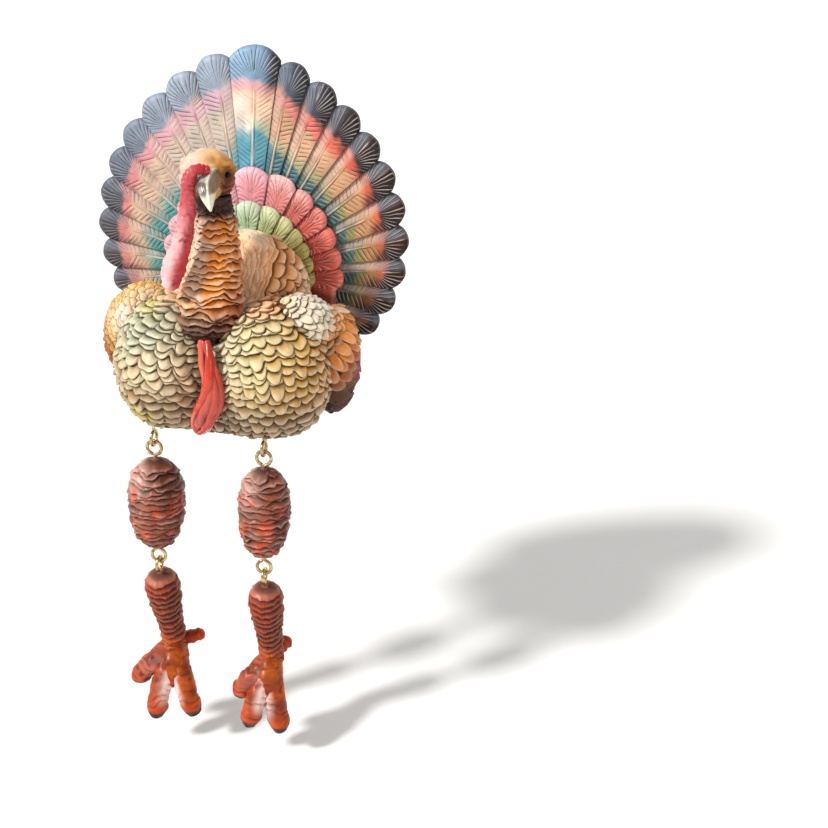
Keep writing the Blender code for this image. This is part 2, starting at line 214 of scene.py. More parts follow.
class Nodes:
    """Short calls for building a material's node tree."""

    def __init__(self, name):
        self.material = bpy.data.materials.new(name)
        self.material.use_nodes = True
        self.tree = self.material.node_tree
        self.shader = self.tree.nodes["Principled BSDF"]

    def node(self, kind, **settings):
        made = self.tree.nodes.new(kind)
        for key, value in settings.items():
            setattr(made, key, value)
        return made

    def put(self, value, socket):
        if hasattr(value, "is_output"):
            self.tree.links.new(value, socket)
        else:
            socket.default_value = value

    def maths(self, operation, *values):
        made = self.node("ShaderNodeMath", operation=operation)
        for value, socket in zip(values, made.inputs):
            self.put(value, socket)
        return made.outputs[0]

    def span(self, value, low, high, to_low=0.0, to_high=1.0):
        made = self.node("ShaderNodeMapRange", interpolation_type="SMOOTHSTEP")
        for number, item in enumerate((value, low, high, to_low, to_high)):
            self.put(item, made.inputs[number])
        return made.outputs[0]

    def blend(self, share, first, second, mode="MIX"):
        made = self.node("ShaderNodeMix", data_type="RGBA", blend_type=mode)
        self.put(share, made.inputs[0])
        for value, socket in ((first, made.inputs[6]), (second, made.inputs[7])):
            self.put((*value, 1.0) if isinstance(value, (tuple, list, np.ndarray)) else value, socket)
        return made.outputs[2]

    def attribute(self, name):
        return self.node("ShaderNodeAttribute", attribute_name=name)

    def noise(self, size, detail):
        """Noise with features of that size in millimetres, from 0 to 1."""
        where = self.node("ShaderNodeTexCoord").outputs["Object"]
        mapping = self.node("ShaderNodeMapping")
        mapping.inputs["Scale"].default_value = [1 / (size * MM)] * 3
        self.put(where, mapping.inputs["Vector"])
        made = self.node("ShaderNodeTexNoise")
        made.inputs["Scale"].default_value = 1.0
        made.inputs["Detail"].default_value = detail
        made.inputs["Roughness"].default_value = 0.55
        self.put(mapping.outputs[0], made.inputs["Vector"])
        return made.outputs[0]

    def bump(self, height, depth, before=None):
        made = self.node("ShaderNodeBump")
        made.inputs["Strength"].default_value = 1.0
        made.inputs["Distance"].default_value = depth * MM
        self.put(height, made.inputs["Height"])
        if before is not None:
            self.put(before, made.inputs["Normal"])
        return made.outputs[0]


MOTTLE, SPECKLE, GRAIN = 5.0, 0.7, 0.45       # sizes of the paint's patches, its brush marks and its grain
GROOVE = 0.16                                 # depth of an engraved barb
STREAK = "e9dfd6"                             # brushed streaks between the barbs
BRUSHED_UP = (1.6, 1.55, 1.5)                 # how much dry brushing brightens the paint


def painted(name, gloss=0.42, coat=0.12, wash=0.8, wash_code="2e160b", brushed=0.25, grit=0.05, shine=0.35):
    """Hand-painted resin: mottled paint, a dark wash in the hollows (also laying painted shade), dry
    brushing, a fine grain.
    """
    n = Nodes(name)
    paint = n.attribute("paint").outputs["Color"]
    hollow = n.attribute("hollow").outputs["Fac"]
    grain = n.node("ShaderNodeSeparateXYZ")
    n.put(n.attribute("grain").outputs["Vector"], grain.inputs[0])
    phase, dark, pale = grain.outputs
    broad = n.noise(MOTTLE, 4.0)
    fine = n.noise(SPECKLE, 3.0)
    colour = n.blend(1.0, paint, n.blend(broad, (0.72, 0.70, 0.68), (1.22, 1.22, 1.22)), "MULTIPLY")
    colour = n.blend(n.maths("MULTIPLY", n.span(fine, 0.5, 0.68), brushed), colour,
                     n.blend(1.0, colour, BRUSHED_UP, "MULTIPLY"))
    cycle = n.maths("ABSOLUTE", n.maths("SUBTRACT", n.maths("FRACT", phase), 0.5))
    line = n.maths("MULTIPLY", n.span(cycle, 0.36, 0.47), dark)
    beside = n.maths("ABSOLUTE", n.maths("SUBTRACT", n.maths("FRACT", phase), 0.27))
    light = n.maths("MULTIPLY", n.span(beside, 0.17, 0.03), pale)
    colour = n.blend(light, colour, tuple(linear(STREAK)))
    low = n.maths("MULTIPLY", n.maths("MAXIMUM", n.maths("POWER", hollow, 1.3), line), wash)
    colour = n.blend(low, colour, n.blend(0.22, tuple(linear(wash_code)), colour))
    n.put(colour, n.shader.inputs["Base Color"])
    n.put(n.maths("ADD", n.span(fine, 0.3, 0.7, gloss - 0.07, gloss + 0.09),
                  n.maths("MULTIPLY", hollow, 0.45)), n.shader.inputs["Roughness"])
    n.shader.inputs["Specular IOR Level"].default_value = shine
    n.shader.inputs["Coat Weight"].default_value = coat
    n.shader.inputs["Coat Roughness"].default_value = 0.22
    cut = n.maths("SUBTRACT", 1.0, line)
    n.put(n.bump(n.noise(GRAIN, 4.0), grit, n.bump(cut, GROOVE)), n.shader.inputs["Normal"])
    return n.material


def brass():
    n = Nodes("brass_wire")
    tarnish = n.noise(1.4, 4.0)
    n.put(n.blend(n.span(tarnish, 0.35, 0.7), tuple(linear("e0c795")), tuple(linear("8f6f3c"))),
          n.shader.inputs["Base Color"])
    n.shader.inputs["Metallic"].default_value = 1.0
    n.put(n.span(tarnish, 0.3, 0.75, 0.2, 0.42), n.shader.inputs["Roughness"])
    n.put(n.bump(n.noise(0.3, 3.0), 0.02), n.shader.inputs["Normal"])
    return n.material


# ---------------------------------------------------------------- tail fan and coverts

def barbs(across, below, focus, slope, spacing):
    """Phase of the barbs of a feather: they leave its shaft upward, and fan out round its tip.

    across is the distance from the shaft and below is the distance down from the tip.
    """
    rise = focus - below
    turn = np.arctan2(rise, np.maximum(across, 1e-6))
    flat = np.arctan(slope)
    fanned = -0.9 * focus * (turn - flat)
    level = -rise + across * slope
    return np.where(turn > flat, fanned, level) / spacing


def strokes(off, half, below, focus, slope, spacing, index, seed):
    """Barbs engraved one by one: their phase, and how strong each is along its own length."""
    phase = barbs(np.abs(off), below, focus, slope, spacing)
    side = np.sign(off)
    number = np.round(phase)
    phase = phase + 0.22 * luck(index, 3 * side, seed)
    share = np.abs(off) / np.maximum(half, 1e-6)
    from_focus = np.hypot(np.minimum(below - focus, 0), off) / focus
    share = np.where(below < focus, np.maximum(share * 0.4, from_focus), share)
    begin = 0.22 + 0.2 * luck(number, index + 31 * side, seed)
    end = 0.9 + 0.25 * luck(number, index + 31 * side, seed + 1)
    shown = ease(begin - 0.12, begin + 0.12, share) * ease(end + 0.2, end - 0.05, share)
    return phase, shown * (0.7 + 0.3 * luck(number, index + 31 * side, seed + 2))


def scallop(angle, across):
    """Share of the notch at a place across a feather's tip: the side that lies over the next feather down is
    rounded off, and the side tucked under the feather above hardly."""
    outward = across * np.sign(round(angle / 6))
    return np.where(outward < 0, 0.55 * np.abs(across) ** 2.6, np.abs(across) ** 2.2)


FEATHER_SPAN = 0.988        # share of its sector that each feather of a plate fills
BACK_INSET = 0.9            # how deep the borders between the feathers lie in a plate's back


class Plate:
    """A flat casting of feathers that radiate from one point, with a relief on its front.

    angles and reach(angle) place the feathers' tips, notch is how deep the rim is cut between them, closing
    lists the corners of the casting below them, inner is its bare middle, and rows is the share of its radius
    that has coarse rows of points, with the number of fine ones outside it. widen is added to the middle one.
    """

    def __init__(self, angles, reach, notch, centre, front, back, closing, inner, rows, columns, widen=0.0):
        spread = [2 * angles[0] - angles[1], *angles, 2 * angles[-1] - angles[-2]]
        borders = [(one + two) / 2 for one, two in zip(spread, spread[1:])]
        borders[len(angles) // 2] -= widen
        borders[len(angles) // 2 + 1] += widen
        turns, across, middle, ends, index, crest = [], [], [], [], [], []
        even = np.linspace(-1, 1, columns)
        s = (np.sin(even * math.pi / 2) * 0.35 + even * 0.65) * FEATHER_SPAN
        for number, (before, angle, after) in enumerate(zip(borders, angles, borders[1:])):
            turns.append(angle + np.where(s > 0, s * (after - angle), s * (angle - before)))
            crest.append(np.full(columns, reach(angle)))
            across.append(s)
            middle.append(np.full(columns, angle))
            ends.append(reach(angle) - notch * scallop(angle, s))
            index.append(np.full(columns, number))
        first, last = turns[0][0], turns[-1][-1]
        rest = np.linspace(last, first + 360, 30)[1:-1]
        corners = [self.at(centre, last, ends[-1][-1]), *closing, self.at(centre, first, ends[0][0])]
        self.turn = np.radians(np.concatenate(turns + [rest]))
        self.across = np.concatenate(across + [np.zeros(len(rest))])
        self.middle = np.concatenate(middle + [np.full(len(rest), 180.0)])
        self.index = np.concatenate(index + [np.full(len(rest), -1)])
        self.crest = np.concatenate(crest + [np.zeros(len(rest))])
        self.end = np.concatenate(ends + [np.array([self.hit(centre, turn, corners) for turn in rest])])
        self.centre, self.front, self.back, self.inner, self.rows = centre, front, back, inner, rows

    @staticmethod
    def at(centre, degrees, distance):
        turn = math.radians(degrees)
        return (centre[0] + distance * math.sin(turn), centre[1] + distance * math.cos(turn))

    @staticmethod
    def hit(centre, degrees, corners):
        """Distance from the centre to the line of corners, in one direction."""
        turn = math.radians(degrees)
        direction = np.array([math.sin(turn), math.cos(turn)])
        for a, b in zip(corners, corners[1:]):
            a, side = np.array(a) - centre, np.array(b) - np.array(a)
            cross = direction[0] * side[1] - direction[1] * side[0]
            if abs(cross) < 1e-9:
                continue
            distance = (a[0] * side[1] - a[1] * side[0]) / cross
            share = (a[0] * direction[1] - a[1] * direction[0]) / cross
            if distance > 0 and -1e-6 <= share <= 1 + 1e-6:
                return distance
        return 10.0

    def grid(self, steps):
        """Distance from the centre, for each step from the inner edge (0) to the rim (1)."""
        return self.inner + (self.end - self.inner) * np.asarray(steps)[:, None]

    def down(self, distance):
        """How far down each feather is from its crest, along its shaft."""
        return self.crest - distance * np.cos(self.turn - np.radians(self.middle))

    def points(self, distance, depth):
        turn = np.broadcast_to(self.turn, distance.shape)
        return np.stack([self.centre[0] + distance * np.sin(turn), np.broadcast_to(depth, distance.shape),
                         self.centre[1] + distance * np.cos(turn)], -1)

    def build(self, relief, colour, back_colour):
        made = Casting()
        coarse = np.linspace(0, self.rows[0], 6)
        distance = self.grid(np.concatenate([coarse[:-1], np.linspace(self.rows[0], 1, self.rows[1])]))
        height, hollow, grain = relief(self, distance)
        points = self.points(distance, self.front - height)
        paint = colour(self, distance, points)
        front = made.add(points, paint, hollow, grain)
        made.skin(front, wrap=True)
        rim_depth = (self.front - height[-1]) * 0.55 + self.back * 0.45
        side = made.add(self.points(self.grid([1.0])[0], rim_depth)[None], paint[-1:] * 0.8, 0.25)
        made.skin(np.vstack([front[-1:], side]), wrap=True)
        back_steps = np.concatenate([[1.0, 0.985], np.linspace(0.95, 0.0, 9)])
        distance = self.grid(back_steps)
        lift = 0.5 * (1 - np.abs(self.across) ** 2) + 0.35 * hump(self.across, 0, 0.14)
        lift = np.where(self.index < 0, 0.2, lift) * ease(1.0, 0.97, back_steps)[:, None]
        depth = self.back - BACK_INSET + lift
        rear = back_colour(self, distance)
        back = made.add(self.points(distance, depth), rear, 0.75 * ease(0.8, 1.0, np.abs(self.across)),
                        self.back_grain(distance))
        made.skin(np.vstack([side, back]), wrap=True)
        made.close(back[-1], (self.centre[0], self.back - BACK_INSET, self.centre[1]), rear[-1, 0])
        made.close(front[0], (self.centre[0], self.front - float(height[0, 0]), self.centre[1]), paint[0, 0])
        return made

    def back_grain(self, distance):
        half = distance * self.half()
        phase = barbs(np.abs(self.across) * half, self.end - distance, 9.0, 0.4, 2.2)
        shown = (self.index >= 0) * ease(self.inner, self.inner + 25, distance)
        return np.stack([phase, 0.7 * shown, 0 * phase], -1)

    def side(self):
        """-1 left of the top feather, 0 on it and off the feathers, and +1 right of it."""
        return np.where(self.index < 0, 0, np.sign(np.round(self.middle / 6)))

    def half(self):
        """Half the angle of each feather, in radians."""
        out = np.full(len(self.turn), 0.1)
        for number in range(self.index.max() + 1):
            found = self.index == number
            out[found] = (self.turn[found].max() - self.turn[found].min()) / 2
        return out


FAN_CENTRE = (0.8, 51.9)
FAN_FRONT, FAN_BACK = 18.2, 23.6
FAN_FOOT = [(33.0, 1.0), (-33.0, 1.0)]         # lower corners of the fan's casting
FAN_SIDE = 11                                 # feathers on each side of the top one


def fan_angles():
    out = []
    for number in range(-FAN_SIDE, FAN_SIDE + 1):
        angle = 10.8 * number + 1.5 * np.sign(number)
        angle += 1.6 * math.cos(math.radians(angle))
        squeeze = 4.8 if number > 0 else 1.4
        out.append(float(angle - squeeze * math.sin(math.pi * number / 9.5)))
    return out


def fan_reach(angle):
    angle = abs(angle)
    return 93.0 - 0.32 * angle - 1.4 * math.sin(math.radians(2.69 * angle))


def fan_relief(plate, distance):
    side = plate.side()
    outward = plate.across * side                 # +1 on the edge farther from the top of the fan
    below = plate.end - distance
    down = plate.down(distance)
    half = distance * plate.half()
    jitter = noise(np.stack([plate.index * 7.3 + 0 * distance, distance, 0 * distance], -1), 9.0, 3)
    shaft = -0.16 * side + 0.04 * jitter
    off = (plate.across - shaft) * half
    width = 0.24 + 0.38 * ease(14, 60, below)
    shown = (plate.index >= 0) * ease(13, 19, below)
    ridge = hump(np.abs(off), 0.5 * width, 0.4 * width) * shown
    flank = hump(np.abs(off), 1.7 * width, 0.2) * shown
    place_3d = plate.points(distance, 0.0)
    height = 0.3 * (1 - np.abs(plate.across) ** 4) + 0.55 * outward + 0.25 * noise(place_3d, 11.0, 9)
    height += 0.5 * hump(below, 6.0, 5.0) * (1 - plate.across ** 2)
    height -= 1.3 * (1 - ease(-0.3, 2.0, below)) + 0.5
    height += 0.5 * ridge - 0.3 * flank + 0.35 * noise(place_3d, 4.0, 10) * ease(10, 20, below)
    phase, strong = strokes(off + 0 * below, half, down + 0.3 * noise(place_3d, 9.0, 11), 14.0,
                            0.42 + 0.3 * (side == 0), 1.9, plate.index + 0 * below, 4)
    phase = phase + 0.16 * noise(place_3d, 3.0, 6)
    outer = ease(-0.15, 0.25, (plate.across - shaft) * np.where(side == 0, 1, side))
    strong = strong * (0.55 + 0.45 * np.maximum(outer, ease(16, 9, below))) * (plate.index >= 0)
    strong = strong * (0.8 + 0.4 * noise(place_3d, 8.0, 8))
    strong = np.clip(strong * (1 - 0.8 * np.clip(ridge, 0, 1)), 0, 1)
    wave = np.abs((phase % 1) - 0.5) * 2          # 1 in the groove, 0 halfway
    height -= 0.5 * strong * ease(0.35, 1.0, wave)
    # Painted shadow: on the edge of each feather tucked under the one above, a dark crevice and a soft band
    # of shade, through the hollow.
    edge = ease(0.93, 0.985, np.abs(plate.across)) + 0.3 * ease(0.6, 0.95, np.abs(plate.across))
    tucked = np.where(side == 0, 0.4 * edge, np.where(outward < 0, edge, 0.3 * edge))
    hollow = 0.95 * tucked + 0.5 * flank + 0.3 * strong * wave ** 2 + 0.3 * ease(1.5, 0.3, below)
    hollow = np.where(plate.index < 0, 0.3, np.clip(hollow, 0, 1))
    darker = ease(-5, 30, plate.middle + 45 * plate.across) + 0.2 * ease(-40, -75, plate.middle)
    streaks = ease(12, 9, down) * (0.2 + 0.7 * np.clip(darker, 0, 1) * (1 - 0.5 * ease(40, 80, plate.middle)))
    bright = np.clip(strong * np.maximum(0.34, streaks), 0, 1)
    grain = np.stack([phase, np.clip(strong * 1.5, 0, 1), bright * (plate.index >= 0)], -1)
    return height, hollow, grain


BAND_SOFTNESS = (1.0, 2.2, 2.0, 1.3)          # half the width over which each band turns into the next

# The fan's paint for feathers at some angles from the top: how far down from the tip each of four bands ends,
# then the colours of the tip, the band below it, the middle, the turn to green, and the inner part.
FAN_BANDS = (
    (-120, 6, 14, 20, 23, "746c70", "b88f88", "cfb09e", "8fa088", "6f928c"),
    (-95, 8, 13, 19, 22, "4c4648", "cc9088", "cfae9a", "94a494", "5f9892"),
    (-72, 9, 14, 21, 24, "55555c", "dc8f8c", "d8bca4", "9fa896", "569a9c"),
    (-48, 11, 16, 28, 32, "727c8e", "d8949a", "d0b8a6", "a4b0a4", "5f9a9c"),
    (-26, 13, 20, 35, 39, "a2b0c2", "deb6c0", "ccc0b4", "a4b0aa", "78a0a4"),
    (-8, 14, 21, 37, 41, "a6b4c6", "d8b8c6", "cec4b8", "a4b4ae", "7ca8b0"),
    (0, 14, 18, 28, 31, "93b4d0", "e4b4b8", "f0d6c0", "a4c0b0", "66a6bc"),
    (8, 13, 20, 31, 35, "5a6678", "cf9088", "d4a88a", "b4b292", "57848e"),
    (26, 13, 20, 30, 34, "38343a", "dc766a", "d4ae92", "acaa88", "50767a"),
    (50, 11, 15, 25, 29, "34211c", "d26c58", "c89c78", "949468", "4a6a6a"),
    (75, 9, 13, 19, 23, "34180e", "c0684a", "ac7e58", "7c7c54", "405a56"),
    (98, 8, 11, 16, 19, "2e140a", "a06040", "886444", "5e5e3a", "334a46"),
    (120, 5, 9, 13, 18, "33261e", "74563c", "5e4e38", "434630", "344440"),
)


def fan_paint(plate, distance, points):
    below = plate.down(distance) + 1.6 * noise(points, 5.0, 31) + 1.0 * noise(points, 1.6, 32)
    side = plate.side()
    outward = np.where(side == 0, plate.across, plate.across * side)
    below = below - np.where(side == 0, 1.0, 2.2) * outward     # bands reach lower on each shaft's outer side
    angles = [row[0] for row in FAN_BANDS]
    middle = plate.middle + 3.0 * plate.across
    colour = by_angle(middle, FAN_BANDS, 5)
    for band, soft in enumerate(BAND_SOFTNESS):
        end = np.interp(middle, angles, [row[1 + band] for row in FAN_BANDS])
        colour = mix(colour, by_angle(middle, FAN_BANDS, 6 + band), ease(end - soft, end + soft, below))
    inward = ease(0.12, -0.35, outward + 0.16) * (side != 0)
    pale = tint(colour, "d9c3bb", 0.55)
    blue = tint(colour, "8e97a6", 0.55)
    muted = mix(blue, pale, ease(9, 14, below))
    colour = mix(colour, muted, inward * ease(42, 24, below) * 0.8)
    colour = tint(colour, "17171b", ease(0.0, 0.75, outward) * ease(17, 12, below)
                  * ease(-6, 16, plate.middle) * 0.75)
    colour = tint(colour, "17171b", (side == 0) * ease(0.25, 0.9, outward) * ease(20, 12, below) * 0.9)
    colour = tint(colour, "17171b", ease(0.45, 0.9, outward) * ease(20, 14, below)
                  * ease(-30, -60, plate.middle) * 0.5)
    colour = tint(colour, "f2e6da", (side == 0) * ease(0.1, -0.3, plate.across) * ease(19, 24, below)
                  * ease(38, 30, below) * 0.75)
    shaft = np.abs(plate.across + 0.16 * side) * distance * plate.half()
    bare = mix(linear("efdccc"), colour, ease(20, 70, plate.middle) * 0.5)
    colour = mix(colour, bare, 0.6 * hump(shaft, 0, 0.4 + 0.3 * ease(14, 60, below)) * ease(17, 22, below))
    colour = colour * (1 + 0.14 * noise(points, 4.0, 33) + 0.08 * luck(plate.index, 5, 34))[..., None]
    return tint(colour, "57493c", (plate.index < 0) * 0.9)


def fan_back_paint(plate, distance):
    below = plate.end - distance
    return ramp(below, (0, "3d342f"), (7, "3d342f"), (11, "7a4a3a"), (16, "8b7059"), (40, "5c4c3f"))


def make_fan():
    plate = Plate(fan_angles(), fan_reach, notch=5.0, centre=FAN_CENTRE, front=FAN_FRONT, back=FAN_BACK,
                  closing=FAN_FOOT, inner=6.0, rows=(0.36, 90), columns=34, widen=1.2)
    made = plate.build(fan_relief, fan_paint, fan_back_paint)
    made.piece("tail_fan_feathers", "bird", ["tail_fan"], "tail",
               painted("fan_paint", gloss=0.5, coat=0.08, wash=0.9, shine=0.25))


# ---------------------------------------------------------------- rounded forms and the feathers laid on them

def unit(vector):
    vector = np.asarray(vector, float)
    return vector / np.linalg.norm(vector, axis=-1, keepdims=True)


SHARPNESS = 22        # how crisp the creases between the lumps of a form are


class Blob:
    """A rounded form of overlapping lumps, each a centre and three radii, seen from a point inside them."""

    def __init__(self, centre, lumps, pole=(0, 0, 1), start=(0, -1, 0)):
        self.centre = np.array(centre, float)
        self.lumps = lumps
        up = unit(pole)
        ahead = unit(np.array(start, float) - up * np.dot(up, start))
        self.axes = np.array([ahead, np.cross(up, ahead), up])

    def reach(self, ways):
        """How far the surface is from the centre, in each direction."""
        total = 0
        for centre, radii in self.lumps:
            offset = (self.centre - centre) / np.array(radii)
            way = ways / np.array(radii)
            a, b, c = (way ** 2).sum(-1), way @ offset, offset @ offset - 1
            root = np.sqrt(np.maximum(b * b - a * c, 0))
            total = total + np.where(root > 0, np.maximum((root - b) / a, 0), 0) ** SHARPNESS
        return total ** (1 / SHARPNESS)

    def onto(self, points):
        ways = unit(points - self.centre)
        return self.centre + ways * self.reach(ways)[..., None]

    def at(self, around, down):
        """The surface at a turn about the pole and an angle from the pole, in radians."""
        way = np.stack([np.sin(down) * np.cos(around), np.sin(down) * np.sin(around),
                        np.cos(down) + 0 * around], -1)
        return self.onto(self.centre + way @ self.axes)

    def shell(self, made, colour, rows, columns):
        """The form's own skin, in one colour."""
        down = np.linspace(POLE_GAP, math.pi - POLE_GAP, rows)[:, None]
        around = np.linspace(0, TAU, columns, endpoint=False)[None, :]
        points = self.at(around, down)
        made.closed_skin(points, colour, 0.8, cap_hollow=0.8)


ACROSS = np.array([-1.0, -0.93, -0.78, -0.55, -0.28, 0.0, 0.28, 0.55, 0.78, 0.93, 1.0])
ALONG = np.array([0.0, 0.22, 0.42, 0.6, 0.75, 0.87, 0.95, 1.0])


class Feather:
    """The look of one kind of small feather: its size and shape, and how its paint is laid."""

    def __init__(self, wide, long, lift, tip, power, crown, wave, dark, pale, thick):
        self.wide, self.long, self.lift, self.tip, self.power = wide, long, lift, tip, power
        self.crown, self.wave, self.dark, self.pale, self.thick = crown, wave, dark, pale, thick


def lay(made, blob, root, heading, kind, tone, lip, draw, keep):
    """Lay one feather on a form, from its root towards heading, as a closed scale with a raised lip.

    tone is its colour at the root and lip the colour along its edge; draw is the source of its variation.
    """
    jitter = draw.uniform(-1, 1, 8)
    wide = kind.wide * (1 + 0.16 * jitter[0])
    long = kind.long * (1 + 0.12 * jitter[1])
    normal = unit(root - blob.centre)
    ahead = unit(heading - normal * np.dot(heading, normal))
    side = np.cross(ahead, normal)
    ahead = unit(ahead + 0.13 * jitter[2] * side)
    side = np.cross(ahead, normal)
    a, b = ACROSS[None, :], ALONG[:, None]
    ripple = kind.wave * (np.sin(3.4 * a + 3 * jitter[3]) + 0.6 * np.sin(7.7 * a + 5 * jitter[4])) / long
    end = 1 - kind.tip * np.abs(a) ** kind.power + 0.5 * ripple
    x = a * wide / 2 * (0.86 + 0.14 * b)
    y = b * end * long
    base = blob.onto(root + x[..., None] * side + y[..., None] * ahead)
    up = unit(np.cross(np.gradient(base, axis=1), np.gradient(base, axis=0)))
    up = up * np.sign((up * (base - blob.centre)).sum(-1, keepdims=True))
    rounding = np.maximum(ease(0.72, 1.0, np.abs(a)) * 0.8, ease(0.86, 1.0, b))
    height = (kind.lift * (1 + 0.3 * jitter[5]) * b ** 1.4 + kind.crown * (1 - a ** 2) * (0.3 + 0.7 * b)
              + 0.2 * a * jitter[6] - 0.3 * rounding - 0.35 * (1 - b)
              + 0.12 * np.sin(5 * a + 4 * b + 6 * jitter[7]))
    points = base + up * height[..., None]
    points = keep(points)
    shade = 1 + 0.10 * jitter[3]
    rim = np.clip(hump(b, 0.9, 0.2) * 0.75 + 0.35 * ease(0.6, 1.0, np.abs(a)) * b, 0, 1)
    colour = mix(tone * shade, lip, rim)
    hollow = np.clip(0.85 * ease(0.5, 0.05, b) + 0.35 * ease(0.9, 1.0, np.abs(a)) + 0 * a, 0, 1)
    phase = a * wide / 1.6 + 0.8 * np.sin(4 * b + 5 * jitter[0]) + jitter[1]
    grain = np.stack([phase + 0 * b, kind.dark * ease(0.05, 0.3, b) + 0 * a, kind.pale + 0 * a * b], -1)
    numbers = made.add(points, colour, hollow, grain)
    made.skin(numbers)
    ring = np.concatenate([numbers[0], numbers[1:, -1], numbers[-1, -2::-1], numbers[-2:0:-1, 0]])
    flat = points.reshape(-1, 3)
    lift = up.reshape(-1, 3)
    border = ring - numbers[0, 0]
    middle = flat.mean(0)
    under = flat[border] - lift[border] * kind.thick
    under = under + 0.12 * (middle - under)
    under = keep(under)
    # Painted shade: the underside wall of the feather is half the tone of its root and deep in the hollow.
    skirt = made.add(under, tone * 0.5, 0.9)
    made.skin(np.stack([ring, skirt]), wrap=True)
    made.close(skirt, under.mean(0) - normal * 0.2, tone * 0.5, 0.9)


RISE = np.array([0.0, 0.12, 0.36, 0.66, 0.9, 1.0])
LAST_ROW = [(178, 30, 0, 0, 0, 0.6)]          # a smooth row that closes a moulded form behind


def moulded(made, blob, rows, columns, paint, keep, seed):
    """Rows of scallops moulded on a form in one skin, from its pole outward.

    Each row is the angle of its lip from the pole in degrees, the width of its lobes, how far they reach, how
    far they stand out, how much the lip wanders, and how dark the crevice above it is.
    """
    around = np.linspace(0, TAU, columns, endpoint=False)
    lips, shares, heights, hollows, lobes, chances = [np.full(columns, 0.01)], [], [], [], [], []
    downs = []
    for number, (degrees, wide, notch, lift, wave, deep) in enumerate(rows):
        level = np.full(columns, math.radians(degrees))
        ring = blob.at(around, level)
        radius = np.linalg.norm(ring - blob.centre, axis=-1)
        steps = np.linalg.norm(np.roll(ring, -1, 0) - ring, axis=-1)
        count = max(3, int(round(steps.sum() / wide)))
        place_on = (np.cumsum(steps) - steps) / steps.sum() * count + 0.5 * (number % 2) + 0.4 * luck(number,
                                                                                                      1, seed)
        place_on = place_on + 0.6 * noise(ring, 2.4 * wide, seed)
        cell = np.floor(place_on)
        lobe = 2 * (place_on - cell) - 1
        chance = luck(cell % count, number, seed + 1)
        edge = notch * (0.85 + 0.75 * chance) * (1 - np.abs(lobe) ** 2.8)
        edge = edge + wave * noise(ring, 1.2 * wide, seed + 2) + 0.35 * wave * noise(ring, 0.4 * wide,
                                                                                     seed + 3)
        lip = np.maximum(level + edge / radius, lips[-1] + 0.3 / radius)
        share = np.broadcast_to(RISE[:, None], (len(RISE), columns))
        room = np.clip((lip - lips[-1]) * radius / 3.0, 0.35, 1.15)
        rise = lift * (0.9 + 0.4 * luck(cell % count, number, seed + 4)) * room
        height = rise * (share ** 1.25 * (1 - 0.7 * np.abs(lobe) ** 5) - 0.42 * ease(0.8, 1.0, share)
                         - 0.3 * ease(0.15, 0.0, share))
        height = height + 0.12 * lift * np.sin(4.5 * lobe + 9 * chance) * share
        downs.append(lips[-1] + (lip - lips[-1]) * share)
        shares.append(share)
        heights.append(height)
        hollows.append(deep * np.clip(ease(0.5, 0.08, share) + 0.55 * ease(0.93, 1.0, share)
                                      + 0.85 * ease(0.78, 0.97, np.abs(lobe)) * ease(0.2, 0.6, share), 0, 1))
        lobes.append(np.broadcast_to(lobe * wide / 2, share.shape))
        chances.append(np.broadcast_to(chance, share.shape))
        lips.append(lip)
    down, share, height, hollow, lobe, chance = (np.vstack(parts) for parts in (
        downs, shares, heights, hollows, lobes, chances))
    base = blob.at(np.broadcast_to(around, down.shape), down)
    up = unit(np.cross(np.gradient(base, axis=1), np.gradient(base, axis=0)))
    up = up * np.sign((up * (base - blob.centre)).sum(-1, keepdims=True))
    height = height + 0.16 * noise(base, 1.5, seed + 5) + 0.09 * noise(base, 0.8, seed + 6)
    points = keep(base + up * height[..., None])
    phase = lobe / 1.1 + 1.3 * noise(points, 2.4, seed + 7)
    grain = np.stack([phase, 0.14 * ease(0.1, 0.4, share), 0.06 + 0 * phase], -1)
    made.closed_skin(points, paint(points, share, chance), hollow, grain, 0.5)


# ---------------------------------------------------------------- coverts

COVERT_CENTRE = (2.4, 51.9)
COVERT_ANGLES = [13.7 * number + 6.3 * (number > 0) - 6.3 * (number < 0) for number in range(-6, 7)]
COVERT_HALF_ANGLE = 6.6
COVERT_THICK = 4.0
COVERT_FOOT_Z = 32.3


def oval_reach(wide, tall):
    def reach(angle):
        turn = math.radians(angle)
        return 1 / math.hypot(math.sin(turn) / wide, math.cos(turn) / tall)
    return reach


def covert_relief(plate, distance):
    side = plate.side()
    outward = plate.across * side
    below = plate.end - distance
    half = distance * plate.half()
    place_3d = plate.points(distance, 0.0)
    off = plate.across * half
    height = 0.4 * (1 - np.abs(plate.across) ** 3) + 0.7 * outward + 0.5 * noise(place_3d, 6.0, 40)
    height = height + 0.5 * hump(below, 4.0, 4.5) * (1 - plate.across ** 2)
    height -= 1.3 * (1 - ease(-0.3, 1.8, below)) + 0.9
    grooves = hump(np.abs(off), 0.55, 0.3) * ease(3.0, 6.0, below)
    phase, strong = strokes(off, half, below + 0.7 * noise(place_3d, 6.0, 41), 12.0, 1.1, 1.6,
                            plate.index + 0 * below, 14)
    phase = phase + 0.3 * noise(place_3d, 3.0, 45)
    strong = strong * (plate.index >= 0)
    wave = np.abs((phase % 1) - 0.5) * 2
    height = height - 0.4 * strong * ease(0.35, 1.0, wave) - 0.3 * grooves
    # Painted shadow: the edge and side of each covert tucked under the one above are darkened through the
    # hollow.
    edge = ease(0.9, 0.985, np.abs(plate.across)) + 0.3 * ease(0.5, 0.95, np.abs(plate.across))
    tucked = np.where(side == 0, 0.4 * edge, edge * (outward < 0))
    hollow = np.clip(1.1 * tucked + 0.6 * grooves + 0.2 * strong * wave + 0.3 * ease(0.8, 1, -outward), 0, 1)
    grain = np.stack([phase, np.clip(0.85 * strong, 0, 1), 0.4 * np.clip(strong, 0, 1)], -1)
    return height, np.where(plate.index >= 0, hollow, 0.4), grain


